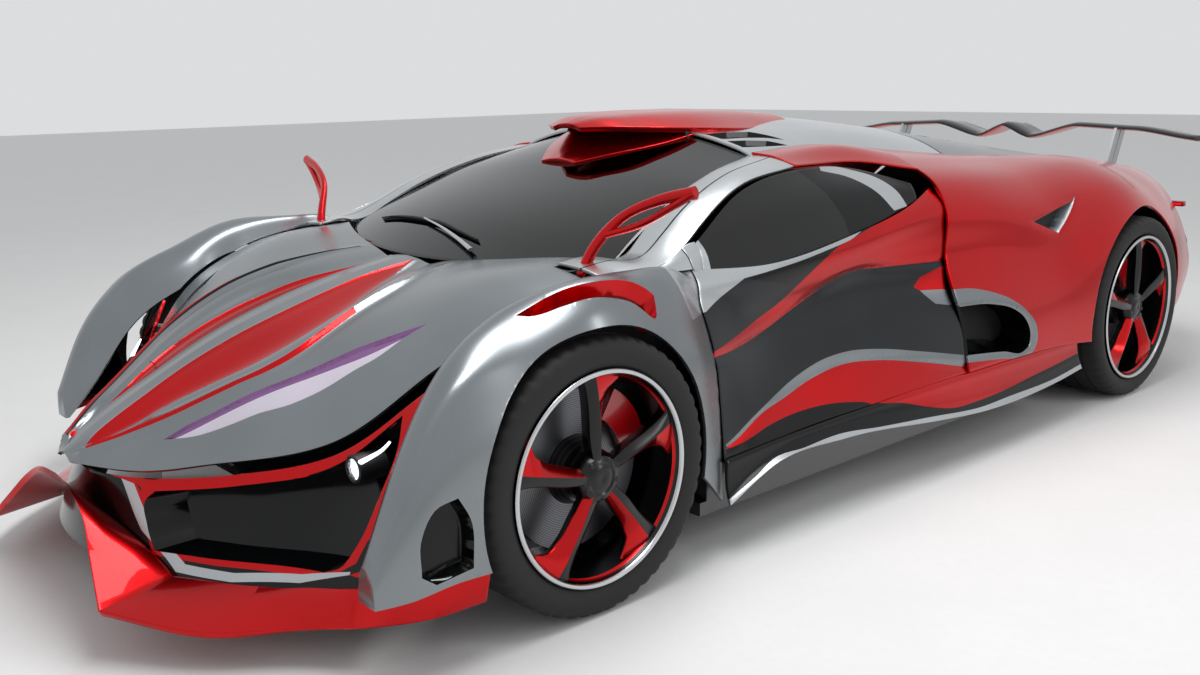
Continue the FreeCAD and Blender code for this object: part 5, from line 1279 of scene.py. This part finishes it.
def channelled(pad, lines, axis, name):
    bm = bmesh.new()
    bm.from_mesh(pad.data)
    bpy.data.objects.remove(pad)
    bmesh.ops.smooth_vert(bm, verts=bm.verts, factor=0.5, use_axis_x=True, use_axis_y=True, use_axis_z=True)
    for line in lines:
        groove(bm, line, axis, 7, 16)
    made = piece(bm, name, [LEATHER], "body", "seat_leather", smooth=80, levels=1)
    return made


SEAT_X, CHANNEL_HALF = 380, 200
pan = inflated(block_mesh((SEAT_X - 148, -318, 328), (SEAT_X + 148, 40, 362)), "pan_block")
across = [[(SEAT_X - CHANNEL_HALF, y), (SEAT_X + CHANNEL_HALF, y)] for y in (-230, -140, -50)]
pan = channelled(pan, across, "z", "seat_pan_pad_left")
rest_pad = inflated(block_mesh((SEAT_X - 146, 58, 372), (SEAT_X + 146, 92, 850), lean=178), "rest_block")
across = [[(SEAT_X - CHANNEL_HALF, z), (SEAT_X + CHANNEL_HALF, z)] for z in (470, 570, 670, 770)]
rest_pad = channelled(rest_pad, across, "y", "seat_back_pad_left")
for pad in (pan, rest_pad):
    twin = other_side(pad, pad.name.replace("left", "right"), "body")
    print(pad.name, "faces:", len(pad.data.polygons))
piece(merged_copy("seats"), "seat_shells", [CARBON], "body", "seat_leather", ("seats",), edge=9, smooth=50)

# %% [markdown]
# The steering wheel is a padded ring on three flat spokes, square to a column
# that leans 22 degrees. It is drawn in its own plane and placed by the hub.

# %% steering wheel
HUB, WHEEL_RADIUS, GRIP_RADIUS, COLUMN_TILT = Vector((380, -530, 670)), 178, 13, 22
lean = radians(90 - COLUMN_TILT)
ALONG, ACROSS = Vector((0, sin(lean), cos(lean))), Vector((1, 0, 0))
DOWN = ALONG.cross(ACROSS)


def on_wheel(turn, r, h):
    """A point at an angle and radius on the steering wheel, h mm along its column."""
    return tuple(HUB + ACROSS * (r * cos(turn)) + DOWN * (r * sin(turn)) + ALONG * h)


def wheel_disc(steps, sides=36):
    """A round boss from steps of (height, radius)."""
    return rolled([[on_wheel(2 * pi * k / sides, r, h) for k in range(sides)] for h, r in steps])


around = np.linspace(0, 2 * pi, 14, endpoint=False)
grip = spun([(GRIP_RADIUS * cos(t), WHEEL_RADIUS + GRIP_RADIUS * sin(t)) for t in around], 72)
lay_down = Vector((1, 0, 0)).rotation_difference(ALONG).to_matrix()
bmesh.ops.rotate(grip, verts=grip.verts, cent=(0, 0, 0), matrix=lay_down)
bmesh.ops.translate(grip, verts=grip.verts, vec=HUB * MM)
piece(grip, "steering_grip", [LEATHER], "body", "seat_leather", ("steering_wheel",))
# A spoke: radius, half width and height of its middle; and its section as shares of the width, and heights.
SPOKE_LINE = ((30, 24, 4), (80, 17, -4), (130, 15, -6), (170, 17, 0))
SPOKE_SECTION = ((-1, -4), (-1, 3), (0, 5), (1, 3), (1, -4), (0, -5))
spokes = [rolled([[on_wheel(turn + w * half_width / max(r, 40), r, h + t) for w, t in SPOKE_SECTION]
                  for r, half_width, h in SPOKE_LINE]) for turn in (0, pi / 2, pi)]
hub = wheel_disc([(-110, 24), (-30, 24), (-28, 40), (-10, 46), (6, 44), (12, 34), (13, 6)])
piece(joined(hub, *spokes), "steering_spokes", [SATIN_BLACK], "body", "matt_black", edge=0.8)

# %% [markdown]
# Behind the wheels the carriers are cast aluminium and the calipers on them are
# enamelled red. The discs were turned on a lathe: fine rings about the axle
# stretch each highlight, so the pattern is centred on each axle.

# %% brakes
def turned(name, axle):
    """Iron with turning marks round an axle."""
    made, tree, place = blank(name)
    centred = node(tree, "ShaderNodeMapping", {"Location": (0, -axle[0] * MM, -axle[1] * MM)}, {"Vector": place})
    rings = node(tree, "ShaderNodeTexWave", {"Scale": 60.0, "Distortion": 0.4}, {"Vector": centred.outputs[0]},
                 wave_type="RINGS", rings_direction="X")
    tone = node(tree, "ShaderNodeValToRGB", {}, {"Fac": rings.outputs["Fac"]})
    tone.color_ramp.elements[0].color = srgb("#55565a")
    tone.color_ramp.elements[1].color = srgb("#77787c")
    bump = node(tree, "ShaderNodeBump", {"Strength": 0.6, "Distance": 0.15 * MM}, {"Height": rings.outputs["Fac"]})
    body = node(tree, "ShaderNodeBsdfPrincipled", {"Metallic": 1.0, "Roughness": 0.36},
                {"Base Color": tone.outputs[0], "Normal": bump.outputs[0]})
    return finish(made, tree, body)


DISCS = {"front": turned("turned_iron_front", FRONT_AXLE), "rear": turned("turned_iron_rear", REAR_AXLE)}
# The faces of a carrier at these radii, and no further than this from the disc, are the caliper's.
CALIPER_INNER, CALIPER_OUTER, CALIPER_REACH = 122, 240, 45
for name, end in (("knuckle_left", "front"), ("knuckle_right", "front"), ("rear_uprights", "rear")):
    axle = FRONT_AXLE if end == "front" else REAR_AXLE
    disc_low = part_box(f"brake_disc_{end}_left")[0] / MM
    carrier = merged_copy(name)
    for f in carrier.faces:
        c = f.calc_center_median() / MM
        r = hypot(c[1] - axle[0], c[2] - axle[1])
        f.material_index = 1 if CALIPER_INNER < r < CALIPER_OUTER and abs(c[0]) > disc_low[0] - CALIPER_REACH else 0
    piece(carrier, name + "_casting", [CAST, CALIPER], name if end == "front" else "body", "cast_metal", (name,),
          smooth=40)

# %% [markdown]
# At the back a dark panel holds two thin red lamps behind acrylic, twin pipes
# and a bare plate field over a finned carbon diffuser.

# %% tail lamps and pipes
tail_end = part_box("tail_lamps")[1][1] / MM
STRIP_SECTION = ((0, 643), (24, 642), (29, 647), (29, 659), (24, 664), (0, 663))
LED_SECTION = ((0, 649), (12, 649), (12, 657), (0, 657))
strip = rolled([[(x, tail_end - 30 + dy, z) for dy, z in STRIP_SECTION] for x in np.linspace(276, 822, 30)])
piece(both_sides(strip), "tail_lamp_strips", [RED_LENS], "body", "red_lens", ("tail_lamps",), edge=0.8)
glow = rolled([[(x, tail_end - 34 + dy, z) for dy, z in LED_SECTION] for x in np.linspace(284, 814, 30)])
piece(both_sides(glow), "tail_lamp_leds", [TAIL], "body", "red_lens")
PIPE_END = (120, 2190, 380)
tips = []
for side_sign in (1, -1):
    tip = spun([(0, 46), (0, 52), (3, 55), (60, 55), (60, 50), (8, 48)], 48)
    bmesh.ops.rotate(tip, verts=tip.verts, cent=(0, 0, 0), matrix=Matrix.Rotation(radians(-90), 3, "Z"))
    bmesh.ops.translate(tip, verts=tip.verts, vec=Vector((side_sign * PIPE_END[0], *PIPE_END[1:])) * MM)
    tips.append(tip)
piece(joined(*tips), "exhaust_tips", [CHROME], "body", "exhaust_steel")


# %% [markdown]
# The remaining solids are right as they are and take a finish of their own:
# powder-coated arms, turned discs, bare carbon for the tub and diffuser, alloy
# for the engine, brushed steel for the pipes and leather for the dashboard.

# %% finishes on the remaining solids
KEPT = {"brake_disc_front": DISCS["front"], "brake_disc_rear": DISCS["rear"], "suspension_arms": STEEL_ARMS,
        "chassis_tub": CARBON, "rear_fascia": SATIN_BLACK, "diffuser": CARBON, "exhaust": EXHAUST,
        "wing_struts": SILVER, "dashboard": LEATHER, "engine": ENGINE}
for name, obj in nodes.items():
    if not obj.hide_render:
        finish_of = next(material for start, material in KEPT.items() if name.startswith(start))
        obj.data.materials.clear()
        obj.data.materials.append(finish_of)
        print(name, "is in", finish_of.name)


# %% [markdown]
# The car stands on a plain pale floor in a soft white studio. A long box
# overhead and one at the side give the paint its broad highlights. The camera
# sees the world at full strength, and so do mirrors and glass, while it lights
# the car a little less.

# %% studio
floor = bmesh.new()
bmesh.ops.create_grid(floor, x_segments=2, y_segments=2, size=30)
floor_mesh = bpy.data.meshes.new("floor")
floor.to_mesh(floor_mesh)
floor.free()
floor_obj = bpy.data.objects.new("floor", floor_mesh)
bpy.context.scene.collection.objects.link(floor_obj)
floor_mesh.materials.append(coat_of("matt_studio_floor", "#ececeb", 0.75, 0.0, 30.0, 0.015))

world = bpy.data.worlds.new("soft_white_studio")
bpy.context.scene.world = world
world.use_nodes = True
tree = world.node_tree
tree.nodes.clear()
ray = node(tree, "ShaderNodeLightPath")
seen = node(tree, "ShaderNodeMath", {}, {0: ray.outputs["Is Camera Ray"], 1: ray.outputs["Is Transmission Ray"]},
            operation="MAXIMUM")
seen = node(tree, "ShaderNodeMath", {}, {0: seen.outputs[0], 1: ray.outputs["Is Glossy Ray"]}, operation="MAXIMUM")
dim, bright = (node(tree, "ShaderNodeBackground", {"Color": srgb("#dcdddf"), "Strength": strength})
               for strength in (0.75, 1.0))
mixed = node(tree, "ShaderNodeMixShader", {}, {0: seen.outputs[0], 1: dim.outputs[0], 2: bright.outputs[0]})
node(tree, "ShaderNodeOutputWorld", links={"Surface": mixed.outputs[0]})


def softbox(name, place, aim, size, power):
    """An area lamp turned towards a point, in metres and watts."""
    data = bpy.data.lights.new(name, "AREA")
    data.shape, data.size, data.size_y, data.energy = "RECTANGLE", size[0], size[1], power
    lamp = bpy.data.objects.new(name, data)
    bpy.context.scene.collection.objects.link(lamp)
    lamp.location = place
    lamp.rotation_euler = (Vector(aim) - Vector(place)).to_track_quat("-Z", "Y").to_euler()
    return lamp


softbox("overhead_softbox", (0.5, -0.5, 4.2), (0, 0, 0.4), (1.3, 4.6), 130)
softbox("side_softbox", (5.0, 1.6, 2.6), (0, 0, 0.6), (0.7, 4.0), 45)

# %% [markdown]
# The camera stands where the photographer stood, low by the left front wheel.
# Its place, lens and tilt were fitted to the wheels and the middle of the car.

# %% camera
lens = bpy.data.cameras.new("camera")
lens.sensor_width, lens.lens = 36.0, 34.38
camera = bpy.data.objects.new("camera", lens)
bpy.context.scene.collection.objects.link(camera)
yaw, pitch, roll = radians(48.304), radians(12.75), radians(-0.933)
back = Vector((sin(yaw) * cos(pitch), -cos(yaw) * cos(pitch), sin(pitch)))
flat = Vector((cos(yaw), sin(yaw), 0))
rise = back.cross(flat)
right, up = flat * cos(roll) + rise * sin(roll), rise * cos(roll) - flat * sin(roll)
camera.matrix_world = Matrix.Translation((2.817, -2.994, 1.219)) @ Matrix((right, up, back)).transposed().to_4x4()
bpy.context.scene.camera = camera
bpy.context.scene.view_settings.view_transform = "Standard"
